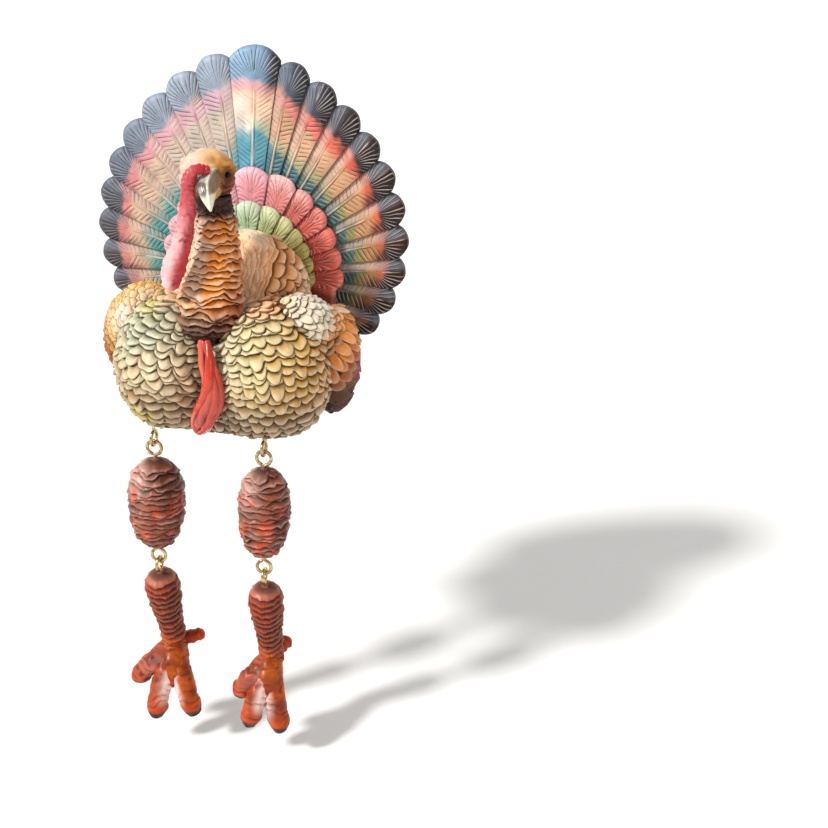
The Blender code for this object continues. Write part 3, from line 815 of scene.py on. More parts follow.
def covert_paint(*bands):
    """Paint by angle: each band is an angle, the colour at the tip and the colour lower down."""
    def paint(plate, distance, points):
        below = plate.end - distance + 1.2 * noise(points, 3.5, 52)
        middle = plate.middle + 5.0 * plate.across
        colour = mix(by_angle(middle, bands, 1), by_angle(middle, bands, 2), ease(1, 8, below))
        return tint(colour, "6b4030", (plate.index < 0) * 0.8)
    return paint


def covert_back(plate, distance):
    return np.broadcast_to(linear("7a4a3c"), distance.shape + (3,))


def make_coverts():
    rows = (
        ("coverts_outer", 17.9, (39.6, 45.0), 3.0, "coverts_red", 0.52,
         covert_paint((-60, "ecb6c0", "dc9aa4"), (-8, "f6c8d4", "f0b2be"), (6, "f4b8c2", "f09ca6"),
                      (22, "eec0be", "de8c86"), (40, "e4908a", "cc665e"), (62, "dc7468", "c85c50"),
                      (95, "f08070", "d25c4e"))),
        ("coverts_inner", 13.6, (28.5, 31.8), 2.0, "coverts_green", 0.5,
         covert_paint((-60, "bcd6b4", "a6c49c"), (-6, "cfe6cc", "b4d4b4"), (12, "d2e0bc", "b8cc98"),
                      (30, "ccd0a0", "b4ba80"), (55, "c4be7c", "a8a45c"), (95, "aea464", "8a8246"))),
    )
    for name, back, oval, notch, slot, inner, paint in rows:
        probe = oval_reach(*oval)(COVERT_ANGLES[-1]) - notch
        corner_x = probe * math.sin(math.radians(COVERT_ANGLES[-1] + COVERT_HALF_ANGLE))
        corners = [(COVERT_CENTRE[0] + corner_x, COVERT_FOOT_Z), (COVERT_CENTRE[0] - corner_x, COVERT_FOOT_Z)]
        plate = Plate(COVERT_ANGLES, oval_reach(*oval), notch, COVERT_CENTRE, back - COVERT_THICK, back,
                      corners, inner=4.0, rows=(inner, 44), columns=28)
        made = plate.build(covert_relief, paint, covert_back)
        made.piece(name + "_feathers", "bird", [name], slot, painted(name + "_paint", gloss=0.4))


# ---------------------------------------------------------------- body

BODY_CENTRE = (1.0, -8.0, 24.0)
BODY_LUMPS = (((0.0, -2.0, 24.0), (41.0, 23.0, 32.0)), ((-18.5, -20.0, 23.0), (22.8, 28.0, 28.0)),
              ((20.5, -20.0, 23.5), (25.0, 28.0, 28.5)), ((2.0, -17.0, 8.0), (37.0, 21.5, 16.0)),
              ((4.0, 0.0, 49.5), (27.0, 15.0, 24.5)))
BODY_BACK_Y, LEDGE_Y, LEDGE_Z = 17.9, 9.3, 32.0
BODY_POLE = (0.02, -0.2, 0.98)                # on the saddle, behind the neck
SADDLE_ROWS = [(degrees, 6.5, 0.8, 0.95, 1.3, 0.32) for degrees in np.arange(5.0, 27, 2.5)]
BREAST_ROWS = [(degrees, 5.8, 2.1, 1.75, 1.6, 1.2 + 0.5 * float(ease(75, 110, degrees)))
               for degrees in np.arange(30, 140, 3.9)]


def within_body(points):
    """Keep points above the seat, in front of the fan, and out of the ledge that the coverts stand on."""
    points = points.copy()
    points[..., 2] = np.maximum(points[..., 2], 0.0)
    points[..., 1] = np.minimum(points[..., 1], BODY_BACK_Y)
    over = (points[..., 2] > LEDGE_Z) & (points[..., 1] > LEDGE_Y)
    points[..., 1] = np.where(over & (points[..., 1] < LEDGE_Y + 9), LEDGE_Y, points[..., 1])
    return points


def body_tone(points):
    """Base colour of the body: a grey-green and cream breast, gold to the right, and an orange saddle, with
    painted shade darkening the bottom of the breast and the crease between its lobes.
    """
    x, z = points[..., 0], points[..., 2]
    breast = ramp(x + 4 * noise(points, 9, 61), (-42, "a09c70"), (-30, "c4bf98"),
                  (-14, "dccfae"), (0, "bca47a"), (10, "e0d6b2"),
                  (24, "e4cf94"), (36, "d9a44a"), (44, "b87a28"))
    green = tint(breast, "b4bda6", ease(-4, -22, x) * ease(26, 42, z) * 0.8)
    patch = ease(0.15, 0.6, noise(points, 8.0, 67))
    green = tint(green, "dcae8c", patch * ease(44, 30, z) * ease(10, -5, x) * 0.6)
    # Gold-brown low on the breast, partly its own paint and partly painted shade; then painted shade darkens
    # the bottom.
    low = tint(green, "a87428", ease(33, 9, z) * 0.72)
    low = tint(low, "4c2a0e", ease(27, 5, z) * 0.8)
    low = tint(low, "c8b62e", hump(x, -29, 9) * hump(z, 6, 5) * 0.7)
    low = tint(low, "dccb62", hump(x, -26, 5) * ease(43, 49, z) * 0.8)
    # Painted shade: a brown band down the crease between the two breast lobes.
    side = tint(low, "6e4426", hump(x, 2, 6) * ease(46, 20, z) * 0.7)
    saddle = ramp(x + 3 * noise(points, 7, 63), (0, "ffcca0"), (12, "ffdcb8"),
                  (20, "ffb070"), (25, "f8a464"), (30, "ffdcb4"), (35, "ffcc96"))
    saddle = tint(saddle, "f08a44", ease(0.2, 0.7, noise(points, 4.0, 68)) * 0.4)
    saddle = tint(saddle, "f4e4c4", ease(71, 74, z))
    return mix(side, saddle, ease(45, 50, z - 0.12 * np.abs(x - 5)))


def make_body():
    made = Casting()

    def paint(points, share, chance):
        tone = body_tone(points) * (1 + 0.13 * chance[..., None])
        warm = tint(tone, "c9a27c", 0.35 * ease(0.2, 0.9, chance))
        lip = tint(warm, "fcf4dc", 0.72)
        warm = mix(warm, lip, hump(share, 0.82, 0.2) * (0.75 + 0.25 * noise(points, 2.5, 65)))
        # Painted shadow: a dark brown band on the body close round each wing.
        gaps = [np.linalg.norm(points - blob.centre, axis=-1) - blob.reach(unit(points - blob.centre))
                for blob in (wing_form(1, RIGHT_LUMPS), wing_form(-1, WING_LUMPS))]
        close = ease(3.2, 0.6, np.minimum(*gaps)) * ease(-3.5, -1.0, np.minimum(*gaps))
        return tint(warm, "2a1206", close * 0.9)

    moulded(made, Blob(BODY_CENTRE, BODY_LUMPS, BODY_POLE), SADDLE_ROWS + BREAST_ROWS + LAST_ROW, columns=380,
            paint=paint, keep=within_body, seed=200)
    made.piece("body_feathers", "bird", ["body"], "breast",
               painted("breast_paint", gloss=0.45, wash=0.97, wash_code="2a1206", brushed=0.25))


# ---------------------------------------------------------------- wings

WING_LUMPS = (((42.0, -8.0, 29.0), (10.5, 14.5, 18.0)), ((33.0, -13.0, 41.0), (12.5, 12.0, 11.0)),
              ((43.5, -1.0, 19.5), (7.5, 15.0, 18.5)))
WING_CENTRE = (40.0, -7.0, 30.0)
WING_POLE = (-0.49, -0.52, 0.70)
FRONT_LUMP = ((31.5, -17.0, 41.5), (13.5, 13.5, 11.8))
PETAL = Feather(5.6, 9.5, 1.9, tip=0.42, power=3.0, wave=0.1, crown=1.3, dark=0.15, pale=0.1, thick=1.8)
QUILL = Feather(6.6, 16.0, 1.6, tip=0.6, power=1.5, wave=0.2, crown=1.0, dark=0.4, pale=0.05, thick=1.5)


RIGHT_LUMPS = WING_LUMPS + (FRONT_LUMP,)


def wing_form(sign, shape):
    flip = np.array([sign, 1, 1])
    return Blob(flip * WING_CENTRE, [(tuple(flip * centre), radii) for centre, radii in shape],
                flip * WING_POLE, (sign, 0, 0))


def make_wing(side, sign, shape, patch, tones, rows, seed):
    """A shoulder moulded with small scallops, with rows of larger feathers laid round it.

    patch lists the rows of scallops, and tones their colours at angles from the shoulder. Each of rows has an
    angle from the shoulder, a kind of feather, the range of turns that it covers, and its colours from one
    end of that range to the other.
    """
    blob = wing_form(sign, shape)
    made = Casting()

    def above_seat(points):
        return np.maximum(points, [-99, -99, 1.0])

    def paint(points, share, chance):
        way = unit(points - blob.centre) @ blob.axes.T
        down = np.degrees(np.arccos(np.clip(way[..., 2], -1, 1))) + 5 * noise(points, 7.0, seed + 5)
        tone = mix(by_angle(down, tones, 1), by_angle(down, tones, 2),
                   ease(-0.5, 0.5, way[..., 1] * 2 + 0.4 * noise(points, 9.0, seed + 6)))
        tone = tone * (1 + 0.14 * chance[..., None])
        return tint(tone, "fdf0dc", hump(share, 0.8, 0.22) * 0.5 * ease(100, 50, down))

    moulded(made, blob, patch + LAST_ROW, columns=210, paint=paint, keep=above_seat, seed=seed + 300)
    draw = np.random.default_rng(seed)
    for degrees, kind, (begin, end), colours in rows:
        down = math.radians(degrees)
        circle = blob.at(np.radians(np.linspace(begin, end, 40)), np.full(40, down))
        length = np.linalg.norm(np.diff(circle, axis=0), axis=1).sum()
        count = max(2, int(round(length / (kind.wide * 0.86))))
        colours = [(number / (len(colours) - 1), tone) for number, tone in enumerate(colours)]
        for number in range(count):
            share = (number + 0.5) / count
            around = np.radians(begin + (end - begin) * share)
            root = blob.at(np.array(around), np.array(down + draw.uniform(-0.03, 0.03)))
            ahead = blob.at(np.array(around), np.array(down + 0.1)) - root
            tone = ramp(np.array(share), *colours)
            lip = mix(tone, linear("fbe6c8"), 0.35 * float(ease(110, 70, degrees)))
            lay(made, blob, root, ahead, kind, tone, lip, draw, above_seat)
    made.piece(f"wing_{side}_feathers", "bird", [f"wing_{side}"], "wing",
               painted(f"wing_{side}_paint", gloss=0.46, coat=0.05, brushed=0.3, wash=0.95, shine=0.22,
                       wash_code="2e1408"))


def make_wings():
    # Turns run from the outer side (0) over the top and back (90), the neck (180) and the front (-90).
    make_wing("right", 1, RIGHT_LUMPS, [(degrees, 4.4, 1.3, 1.5, 1.2, 1.0)
                                        for degrees in np.arange(4, 58, 5.2)]
              + [(degrees, 4.6, 1.8, 1.5, 1.0, 1.0) for degrees in np.arange(62, 176, 7.0)],
              ((0, "f2c694", "f6d4a8"), (16, "f6e2c8", "fff2e2"), (42, "f4e6cc", "fff4e8"),
               (52, "d8862f", "f2ac6c"), (70, "8a4a18", "d88840"), (90, "34140a", "6a3014"),
               (115, "120404", "340c10"), (125, "100404", "30080e")),
              ((122, QUILL, (-110, 10), ("2c060a", "5c1822", "842c3a", "7c2834")),
               (104, QUILL, (-100, 15), ("341406", "6a3c10", "782010", "842418")),
               (86, PETAL, (-100, 30), ("5c2808", "8c4816", "9c4418", "94401c")),
               (70, PETAL, (-95, 60), ("84420f", "b4642a", "d47f40", "d27634", "c4682c")),
               (57, PETAL, (-100, 70), ("945218", "c67430", "e49a60", "e48e48", "da8444")),
               (45, PETAL, (30, 110), ("fbe4d4", "f0a050", "f2a45c")), ), 23)
    make_wing("left", -1, WING_LUMPS,
              [(degrees, 3.9, 1.1, 1.0, 1.2, 0.85) for degrees in np.arange(4, 76, 5.0)]
              + [(degrees, 4.2, 1.6, 1.3, 1.1, 1.0) for degrees in np.arange(80, 176, 7.0)],
              ((0, "e0b060", "f2dcc8"), (20, "e2b040", "f4dccc"), (40, "e2b458", "f4e0cc"),
               (58, "cc8630", "e4c490"), (76, "9c6424", "c89a60"), (92, "7c4018", "b07038"),
               (110, "54260f", "8a4c24"), (130, "3c140c", "54261a")),
              (
                  (100, PETAL, (-50, 20), ("a8541c", "c06a28", "a8602c")),
                  (118, QUILL, (-120, -20), ("3c120c", "5c1c16", "6a261c")),
              ), 29)


# ---------------------------------------------------------------- upright forms with wavy ledges

def edge_places(turn, radius, level):
    """Places on a ring, where a ledge's edge looks up its noise."""
    return np.stack([radius * np.sin(turn), radius * np.cos(turn), 0 * turn + level], -1)


STEPS = np.array([0.0, 0.10, 0.26, 0.46, 0.66, 0.82, 0.93, 1.0])


def ledges(made, top, bottom, centre, radius, wave, paint, count, lip, inset, columns, round_lip, fade=1.2):
    """An upright form ringed with overlapping ledges, from the top down, as one closed skin.

    centre(z) and radius(z) give its axis and size, and wave(turn, number) the height of each ledge's edge.
    lip is how far the ledges stand out from a core that is inset, round_lip how much their edges are rounded
    off, and fade how far below the top they reach their full depth.
    """
    turn = np.linspace(0, TAU, columns, endpoint=False)
    edges = []
    for number in range(count + 1):
        share = number / count
        level = top + (bottom - top) * share + (wave(turn, number) if 0 < number < count else 0 * turn)
        edges.append(np.minimum(level, edges[-1] - 0.35) if edges else level)
    edges[-1] = np.full(columns, bottom)
    z, share, band = [], [], []
    for number, (upper, lower) in enumerate(zip(edges, edges[1:])):
        z.append(upper + (lower - upper) * STEPS[:, None])
        share.append(np.broadcast_to(STEPS[:, None], (len(STEPS), columns)))
        band.append(np.full((len(STEPS), columns), number))
    z, share, band = np.vstack(z), np.vstack(share), np.vstack(band)
    turns = np.broadcast_to(turn, z.shape)
    middle = centre(z)
    ways = np.stack([np.sin(turns), -np.cos(turns), 0 * turns], -1)
    size = radius(z) - inset
    places = middle + ways * size[..., None]
    uneven = 0.85 + 0.6 * noise(np.stack([9 * ways[..., 0], 9 * ways[..., 1], band * 3.7], -1), 2.2, 71)
    height = lip * uneven * (share ** 1.25 - 0.3 * ease(0.12, 0.0, share)) - round_lip * ease(0.84, 1.0,
                                                                                              share)
    height = height + 0.22 * noise(places, 2.4, 72) + 0.1 * noise(places, 1.1, 73)
    height = height * ease(0, fade, top - z) * ease(0, 1.2, z - bottom)
    points = middle + ways * (size + height)[..., None]
    hollow = np.clip(ease(0.6, 0.12, share) + 0.7 * ease(0.94, 1.0, share), 0, 1)
    phase = turns * size / 1.5 + 1.2 * noise(places, 3.0, 74)
    grain = np.stack([phase, 0.07 + 0 * z, 0.04 + 0 * z], -1)
    numbers = made.add(points, paint(points, share, band), hollow, grain)
    made.skin(numbers, wrap=True)
    for row in (0, -1):
        made.close(numbers[row], points[row].mean(0), paint(points[row:][:1], share[:1], band[:1])[0, 0])


# ---------------------------------------------------------------- tubes along a line

def tube(made, line, radii, paint, columns, steps, ends, bumps=None):
    """A rod along a line, with columns points round it and steps between two points of the line.

    paint gives a colour and a hollow, and bumps a height, from how far along (0 to 1), the turn and the
    points. ends are the lengths of its rounded ends, as shares of its radius there.
    """
    middle, sizes = along_line(np.array(line, float), np.array(radii, float)[:, None], steps)
    sizes = sizes[:, 0]
    ahead = unit(np.gradient(middle, axis=0))
    for end, order in ((0, 1), (-1, -1)):
        share = ends[end]
        if not share:
            continue
        turn = np.radians([80, 58, 34, 14])[::order]
        extra = middle[end] - order * ahead[end] * sizes[end] * share * np.sin(turn)[:, None]
        size = sizes[end] * np.cos(turn)
        same = np.repeat(ahead[end][None], len(turn), 0)
        parts = (extra, middle), (size, sizes), (same, ahead)
        middle, sizes, ahead = (np.concatenate(pair[::order]) for pair in parts)
    side = [unit(np.cross(ahead[0], (0.3, 1.0, 0.2)))]
    for way in ahead[1:]:
        side.append(unit(side[-1] - way * np.dot(side[-1], way)))
    side = np.array(side)
    other = np.cross(ahead, side)
    gone = np.concatenate([[0], np.cumsum(np.linalg.norm(np.diff(middle, axis=0), axis=1))])
    along = np.broadcast_to((gone / gone[-1])[:, None], (len(middle), columns))
    turn = np.broadcast_to(np.linspace(0, TAU, columns, endpoint=False), along.shape)
    ways = np.cos(turn)[..., None] * side[:, None] + np.sin(turn)[..., None] * other[:, None]
    points = middle[:, None] + ways * sizes[:, None, None]
    if bumps is not None:
        points = points + ways * (bumps(along, turn, points) * np.minimum(1, sizes / 1.5)[:, None])[..., None]
    made.closed_skin(points, *paint(along, turn, points))


# ---------------------------------------------------------------- neck and head

NECK_LINE = ((-0.6, -30.5, 39.0), (-0.6, -31.5, 43.0), (-0.6, -29.5, 52.0), (0.4, -28.0, 63.0),
             (1.8, -27.5, 74.0), (1.4, -27.0, 84.0), (0.6, -26.5, 92.0))
NECK_RADII = (8.0, 11.0, 12.6, 10.6, 8.5, 7.6, 7.5)
HEAD_CENTRE, HEAD_RADII = (-1.4, -26.5, 99.5), (10.4, 13.0, 11.0)


def by_height(points, values):
    """Functions of z for the centre line and the radius of an upright form."""
    line, sizes = along_line(np.array(points, float), np.array(values, float)[:, None], 10)
    order = np.argsort(line[:, 2])
    level = line[order, 2]

    def centre(z):
        return np.stack([np.interp(z, level, line[order, 0]), np.interp(z, level, line[order, 1]), z], -1)

    def radius(z):
        return np.interp(z, level, sizes[order, 0])
    return centre, radius


def neck_paint(points, share, band):
    x, z = points[..., 0], points[..., 2]
    # Both ramps go near black at the bottom, where the neck meets the breast: partly its dark paint, partly
    # painted shade.
    orange = ramp(z, (38, "200a05"), (46, "541e0c"), (53, "b45c20"),
                  (62, "f49844"), (80, "f09446"), (88, "a85828"))
    grey = ramp(z, (38, "280e08"), (46, "5c301a"), (53, "b07c4c"),
                (61, "f0d0b0"), (76, "e8ccb4"), (88, "b89880"))
    across = x - 0.8 + 2.8 * noise(points, 5.0, 81)
    colour = mix(grey, orange, ease(-2.5, 2.0, across))
    streak = ease(0.2, 0.7, noise(points, 4.5, 87)) * ease(70, 56, z) * ease(44, 52, z)
    colour = tint(colour, "e08428", streak * 0.6)
    # Painted shade: the right side of the neck, away from the light, is darker.
    right = tint(colour, "a0481c", ease(6, 12, x) * 0.6)
    # Painted shadow under the head: the top of the neck goes near black, without pale lips.
    under_head_shadow = ease(83, 88, z + 1.5 * noise(points, 3, 85))
    right = tint(right, "34150a", under_head_shadow)
    pale = tint(right, "fff0dc", 0.6 * ease(40, 52, z))
    return mix(right, pale, hump(share, 0.8, 0.2) * (0.6 + 0.6 * noise(points, 3.0, 82)) * (1 - under_head_shadow))


def make_neck():
    made = Casting()
    centre, radius = by_height(NECK_LINE, NECK_RADII)

    def wave(turn, number):
        ring = edge_places(turn, 9, number * 4.1)
        return 1.6 * noise(ring, 4.6, 83) + 1.0 * noise(ring, 2.1, 84) + 0.5 * noise(ring, 1.0, 86)

    ledges(made, 93.0, 37.0, centre, radius, wave, neck_paint, count=25, lip=1.8, inset=0.8, columns=170,
           round_lip=0.4, fade=12.0)
    made.piece("neck_skin", "bird", ["neck"], "neck",
               painted("neck_paint", gloss=0.4, coat=0.1, shine=0.28, wash=0.97, wash_code="200c05"))


EYES = ((9.0, -29.6, 101.6), (-10.2, -30.6, 102.4))
EYEBALL_R, EYEBALL_DEPTH = 1.0, 1.7


def make_head():
    made = Casting()
    down = np.linspace(POLE_GAP, math.pi - POLE_GAP, 110)[:, None]
    turn = np.linspace(0, TAU, 150, endpoint=False)[None, :]
    ways = np.stack([np.sin(down) * np.sin(turn), -np.sin(down) * np.cos(turn), np.cos(down) + 0 * turn], -1)
    points = np.array(HEAD_CENTRE) + ways * np.array(HEAD_RADII)
    out = unit(ways / np.array(HEAD_RADII))
    x, y, z = np.moveaxis(points, -1, 0)
    lift = -0.4 + 0.35 * noise(points, 5.0, 91) + 0.3 * noise(points, 2.2, 92)
    hollow = 0.1 + 0 * x
    for eye in EYES:
        gap = np.linalg.norm((points - eye) * (1, 1, 1.35), axis=-1)
        lift = lift - 1.8 * hump(gap, 0, 2.6) + 1.5 * hump(gap, 4.4, 1.6) * ease(-1.5, 2, z - eye[2])
        # The sockets round the eyes are darkened through the hollow as painted shade.
        hollow = hollow + 1.5 * hump(gap + 1.6 * noise(points, 2.0, 97), 0, 3.4)
    creased = ease(101.5, 98.5, z) * ease(1, 4, x)
    folds = np.sin(1.5 * x + 2.0 * z + 3 * noise(points, 3.5, 95))
    lift = lift + creased * (0.55 * folds - 0.7)
    hollow = hollow + creased * ease(0.2, -0.8, folds) * 0.8
    lift = lift - 2.0 * near(points, (3.0, -36.0, 90.5), 6.0)
    # Painted shade: the throat hollow under the beak is darkened through the hollow.
    hollow = hollow + 1.1 * near(points, (3.0, -36.0, 91.0), 7.0)
    front = ease(-20, -32, y) * ease(0, 5, x)
    facets = noise(points * (1, 1, 1.4), 3.4, 98)
    lift = lift + 0.7 * facets * front * (1 - creased)
    flecks = ease(0.3, 0.6, noise(points, 2.0, 96)) * ease(0, 6, x) * ease(108, 103, z)
    hollow = hollow + 0.6 * flecks + 0.5 * front * ease(-0.1, -0.6, facets)
    ochre = tint(linear("f6ca9c"), "d2924e", ease(0, 7, x + 2 * noise(points, 3, 93)))
    ochre = tint(ochre, "9a4c1c", ease(7, 10.5, x + noise(points, 3, 99)) * 0.5)
    colour = tint(ochre, "e4cebe", ease(1, -4, x + 2 * noise(points, 4, 94)))
    # Painted shade: dark brown on the lower right of the head, below the brow and away from the light, brown
    # over its folds.
    colour = tint(colour, "7a3c1c", ease(103.5, 99.5, z) * ease(2, 5, x) * 0.85)
    colour = tint(colour, "94502c", creased)
    # Painted shade: the bottom of the head, under the beak, goes near black.
    colour = tint(colour, "2c1209", ease(97, 91, z) * 0.95)
    points = points + out * lift[..., None]
    made.closed_skin(points, colour, np.clip(hollow, 0, 1))
    for eye in EYES:
        inward = unit(np.array(HEAD_CENTRE) - eye)
        middle = np.array(eye) + inward * EYEBALL_DEPTH
        ball = Blob(middle, [(tuple(middle), (EYEBALL_R,) * 3)])
        ball.shell(made, linear("150a06"), 16, 24)
    made.piece("head_skin", "bird", ["head"], "neck",
               painted("head_paint", gloss=0.36, coat=0.12, wash=0.95, wash_code="1c0a05"))


BEAK_LINE = ((2.0, -32.5, 100.0), (2.6, -37.5, 100.0), (3.4, -41.5, 98.6), (4.8, -44.8, 95.4),
             (6.3, -46.6, 91.2))
BEAK_RADII = (4.4, 4.2, 3.6, 2.5, 0.5)
JAW_LINE = ((2.4, -33.0, 96.5), (3.2, -38.0, 95.6), (4.4, -41.5, 93.6))
JAW_RADII = (3.6, 3.0, 1.2)


def beside_ridge(points):
    """How far to the right of the beak's ridge each point is."""
    return points[..., 0] - np.interp(points[..., 2], (91, 96, 101), (6.3, 5.9, 4.4))


def make_beak():
    made = Casting()

    def ridge(along, turn, points):
        """A keel along the front of the beak, and flattened flanks."""
        off = beside_ridge(points) / (0.6 + 3.6 * (1 - along))
        front = ease(-38, -44, points[..., 1]) + ease(99, 104, points[..., 2])
        return 0.7 * hump(off, 0, 0.35) * np.clip(front, 0, 1) - 0.35 * hump(np.abs(off), 0.75, 0.3)

    def paint(along, turn, points):
        z, aside = points[..., 2], beside_ridge(points)
        ivory = tint(linear("f0ecd4"), "efe0a8", ease(0.2, 1.6, aside))
        upper = ease(94.5, 97.5, z + 1.2 * noise(points, 2.5, 101))
        ivory = tint(ivory, "a8aca4", upper * ease(0.6, -1.2, aside))
        specks = ease(0.0, 0.45, noise(points, 2.0, 102)) * ease(95, 97.5, z) * ease(0.4, -0.8, aside)
        ivory = tint(ivory, "4c443a", specks * 0.8)
        # Painted highlight: a near-white line down the ridge of the beak, below its top.
        ivory = tint(ivory, "fffcf0", hump(aside, 0, 0.55) * ease(99, 96.5, z) * 0.9)
        # Painted shadow: the top right of the beak, under the brow, is dark brown.
        brow_shadow = ease(96.4, 98.2, z + noise(points, 2.0, 103)) * ease(0.1, 0.9, aside)
        ivory = tint(ivory, "5c3a20", brow_shadow * 0.92)
        nostrils = near(points, (5.6, -40.0, 99.0), 1.2) + near(points, (-0.4, -39.0, 99.5), 1.1)
        return ivory, np.clip(nostrils + 0.7 * ease(0.25, 0.05, along), 0, 1)

    tube(made, BEAK_LINE, BEAK_RADII, paint, columns=44, steps=12, bumps=ridge, ends=(0, 0.4))
    tube(made, JAW_LINE, JAW_RADII, lambda along, turn, points: (linear("b89a6c"), 0.35), columns=28, steps=8,
         ends=(0, 0.6))
    made.piece("beak_horn", "bird", ["beak"], "beak",
               painted("beak_paint", gloss=0.24, coat=0.4, brushed=0.1, wash=0.85, wash_code="3a2c20"))


SNOOD_LINE = ((3.4, -40.5, 104.6), (-0.4, -42.5, 104.6), (-3.2, -42.0, 101.0), (-4.2, -41.0, 93.0),
              (-5.0, -42.0, 84.0), (-7.2, -42.5, 75.0), (-10.2, -42.5, 66.5), (-11.2, -43.0, 61.5))
SNOOD_RADII = (1.6, 2.0, 2.5, 2.8, 3.2, 3.8, 4.5, 3.0)


def make_snood():
    made = Casting()

    def knobs(along, turn, points):
        rings = np.sin(along * 190 + 2 * np.sin(turn) + 5 * noise(points, 4.0, 111))
        rough = noise(points, 1.8, 112) + 0.8 * noise(points, 1.0, 113)
        return 0.13 * rings * ease(0.5, 0.25, along) + (0.26 + 0.16 * ease(0.2, 0.5, along)) * rough

    def paint(along, turn, points):
        height = knobs(along, turn, points)
        left = points[..., 0] - np.interp(points[..., 2], (61, 67, 75, 84, 104),
                                          (-11.2, -10.2, -7.2, -5.0, -2.0))
        # Lower down the snood turns its own pale pink, but only on its left, toward the light: painted light.
        deep = tint(linear("c4585e"), "ffc2c4", ease(0.3, 0.7, along) * ease(3.8, -1.2, left))
        pink = tint(deep, "ffc8cc", ease(0.2, 0.55, height) * 0.45)
        dark = tint(pink, "a0262c", ease(0.0, -0.4, height) * 0.6)
        # Painted shade: the right side of the snood, away from the light, is darker.
        dark = tint(dark, "a8202a", ease(0.8, 3.2, left) * 0.75)
        return dark, np.clip(ease(-0.1, -0.5, height) * 0.7, 0, 1)

    tube(made, SNOOD_LINE, SNOOD_RADII, paint, columns=56, steps=26, bumps=knobs, ends=(0.6, 0.75))
    made.piece("snood_flesh", "bird", ["snood"], "wattle",
               painted("snood_paint", gloss=0.38, coat=0.15, grit=0.02, brushed=0.05, wash_code="4a0a10"))


BEARD_LINE = ((1.6, -42.6, 40.6), (3.8, -45.2, 34.0), (5.8, -46.8, 26.0), (4.8, -46.8, 18.0),
              (1.2, -45.6, 10.0), (-0.8, -43.6, 4.4), (-2.0, -42.2, 1.4))
BEARD_RADII = (2.6, 3.6, 4.4, 4.9, 4.9, 3.2, 0.8)
STRANDS = 6


def make_beard():
    made = Casting()
    middle, sizes = along_line(np.array(BEARD_LINE), np.array(BEARD_RADII)[:, None], 8)
    sizes = sizes[:, 0]
    along = np.linspace(0, 1, len(middle))
    draw = np.random.default_rng(31)
    red, bright, deep = linear("c84434"), linear("ee9484"), linear("7c140e")
    for strand in range(STRANDS):
        begin = TAU * strand / STRANDS + draw.uniform(-0.2, 0.2)
        turn = begin + 2.8 * along + 0.35 * np.sin(5 * along + draw.uniform(0, 6))
        off = sizes * (0.68 if strand % 3 else 0.4)
        line = middle + np.stack([np.cos(turn) * off, -np.abs(np.sin(turn)) * off * 0.9, 0 * turn], -1)
        line[:, 2] = np.maximum(line[:, 2], 1.2)
        size = np.maximum(0.25, sizes * 0.44 * (0.8 + 0.25 * np.sin(4 * along + strand)))
        tone = mix(red, bright, draw.uniform(0, 0.35))

        def paint(share, around, points, tone=tone):
            x = points[..., 0] - np.interp(points[..., 2], (1, 10, 18, 26, 40), (-2.0, 1.2, 4.8, 5.8, 1.8))
            # Painted shade: each strand is darker toward the right of the beard, away from the light.
            colour = mix(tone, deep, ease(-1.0, 4.5, x) * 0.35)
            # The strands' parts deep inside the beard are darkened through the hollow: painted shade between
            # the strands.
            axis = np.stack([np.interp(points[..., 2], middle[::-1, 2], middle[::-1, i]) for i in (0, 1)], -1)
            gap = np.linalg.norm(points[..., :2] - axis, axis=-1)
            room = np.interp(points[..., 2], middle[::-1, 2], sizes[::-1])
            return colour, ease(0.95, 0.6, gap / np.maximum(room, 0.5))

        tube(made, line[::3], size[::3], paint, columns=24, steps=6, ends=(0.6, 0.6),
             bumps=lambda share, around, points: 0.35 * noise(points * (1, 1, 0.25), 1.6, 120 + strand))
    made.piece("beard_strands", "bird", ["beard"], "beard",
               painted("beard_paint", gloss=0.22, coat=0.6, wash=0.97, brushed=0.0, grit=0.012,
                       wash_code="3a0606"))


# ---------------------------------------------------------------- legs

SHOWN_WIRE_R = 0.68 * 1.06                    # a little thicker than the CAD's wire
RING_R, SHANK_IN = 3.0, 6.0
RING_TURNS = np.radians(np.linspace(66.0, -254.0, 28))        # an open ring: its end stops short of the shank
LINK, RING_OUT = 4.34, 3.68
HIP_Y, SHANK_TOP_Z = -34.5, 7.0
THIGH_LENGTH, FOOT_LENGTH = 40.0, 40.0
THIGH_DOWN = (0.0, 0.03, 0.08, 0.18, 0.32, 0.5, 0.68, 0.86, 0.97, 1.0)
THIGH_WIDE = (0.24, 0.5, 0.68, 0.88, 0.985, 1.0, 0.94, 0.76, 0.46, 0.24)
SHANK_DOWN = (0.0, 0.02, 0.08, 0.19, 0.32, 0.46, 0.6, 0.74, 0.88, 1.0)
SHANK_WIDE = (2.4, 5.2, 6.9, 7.3, 7.1, 6.5, 5.8, 5.3, 5.3, 5.9)
TOE_RADII = (5.2, 4.9, 4.5, 4.3, 3.4)
TOE_LOOKS = ((0.4, "b8604a"), (0.9, "b8583a"), (-1.0, "c05c26"))
PAD_RADII = (5.4, 5.8, 4.2)
HIND_RADII = (4.0, 3.0, 2.8, 2.4)


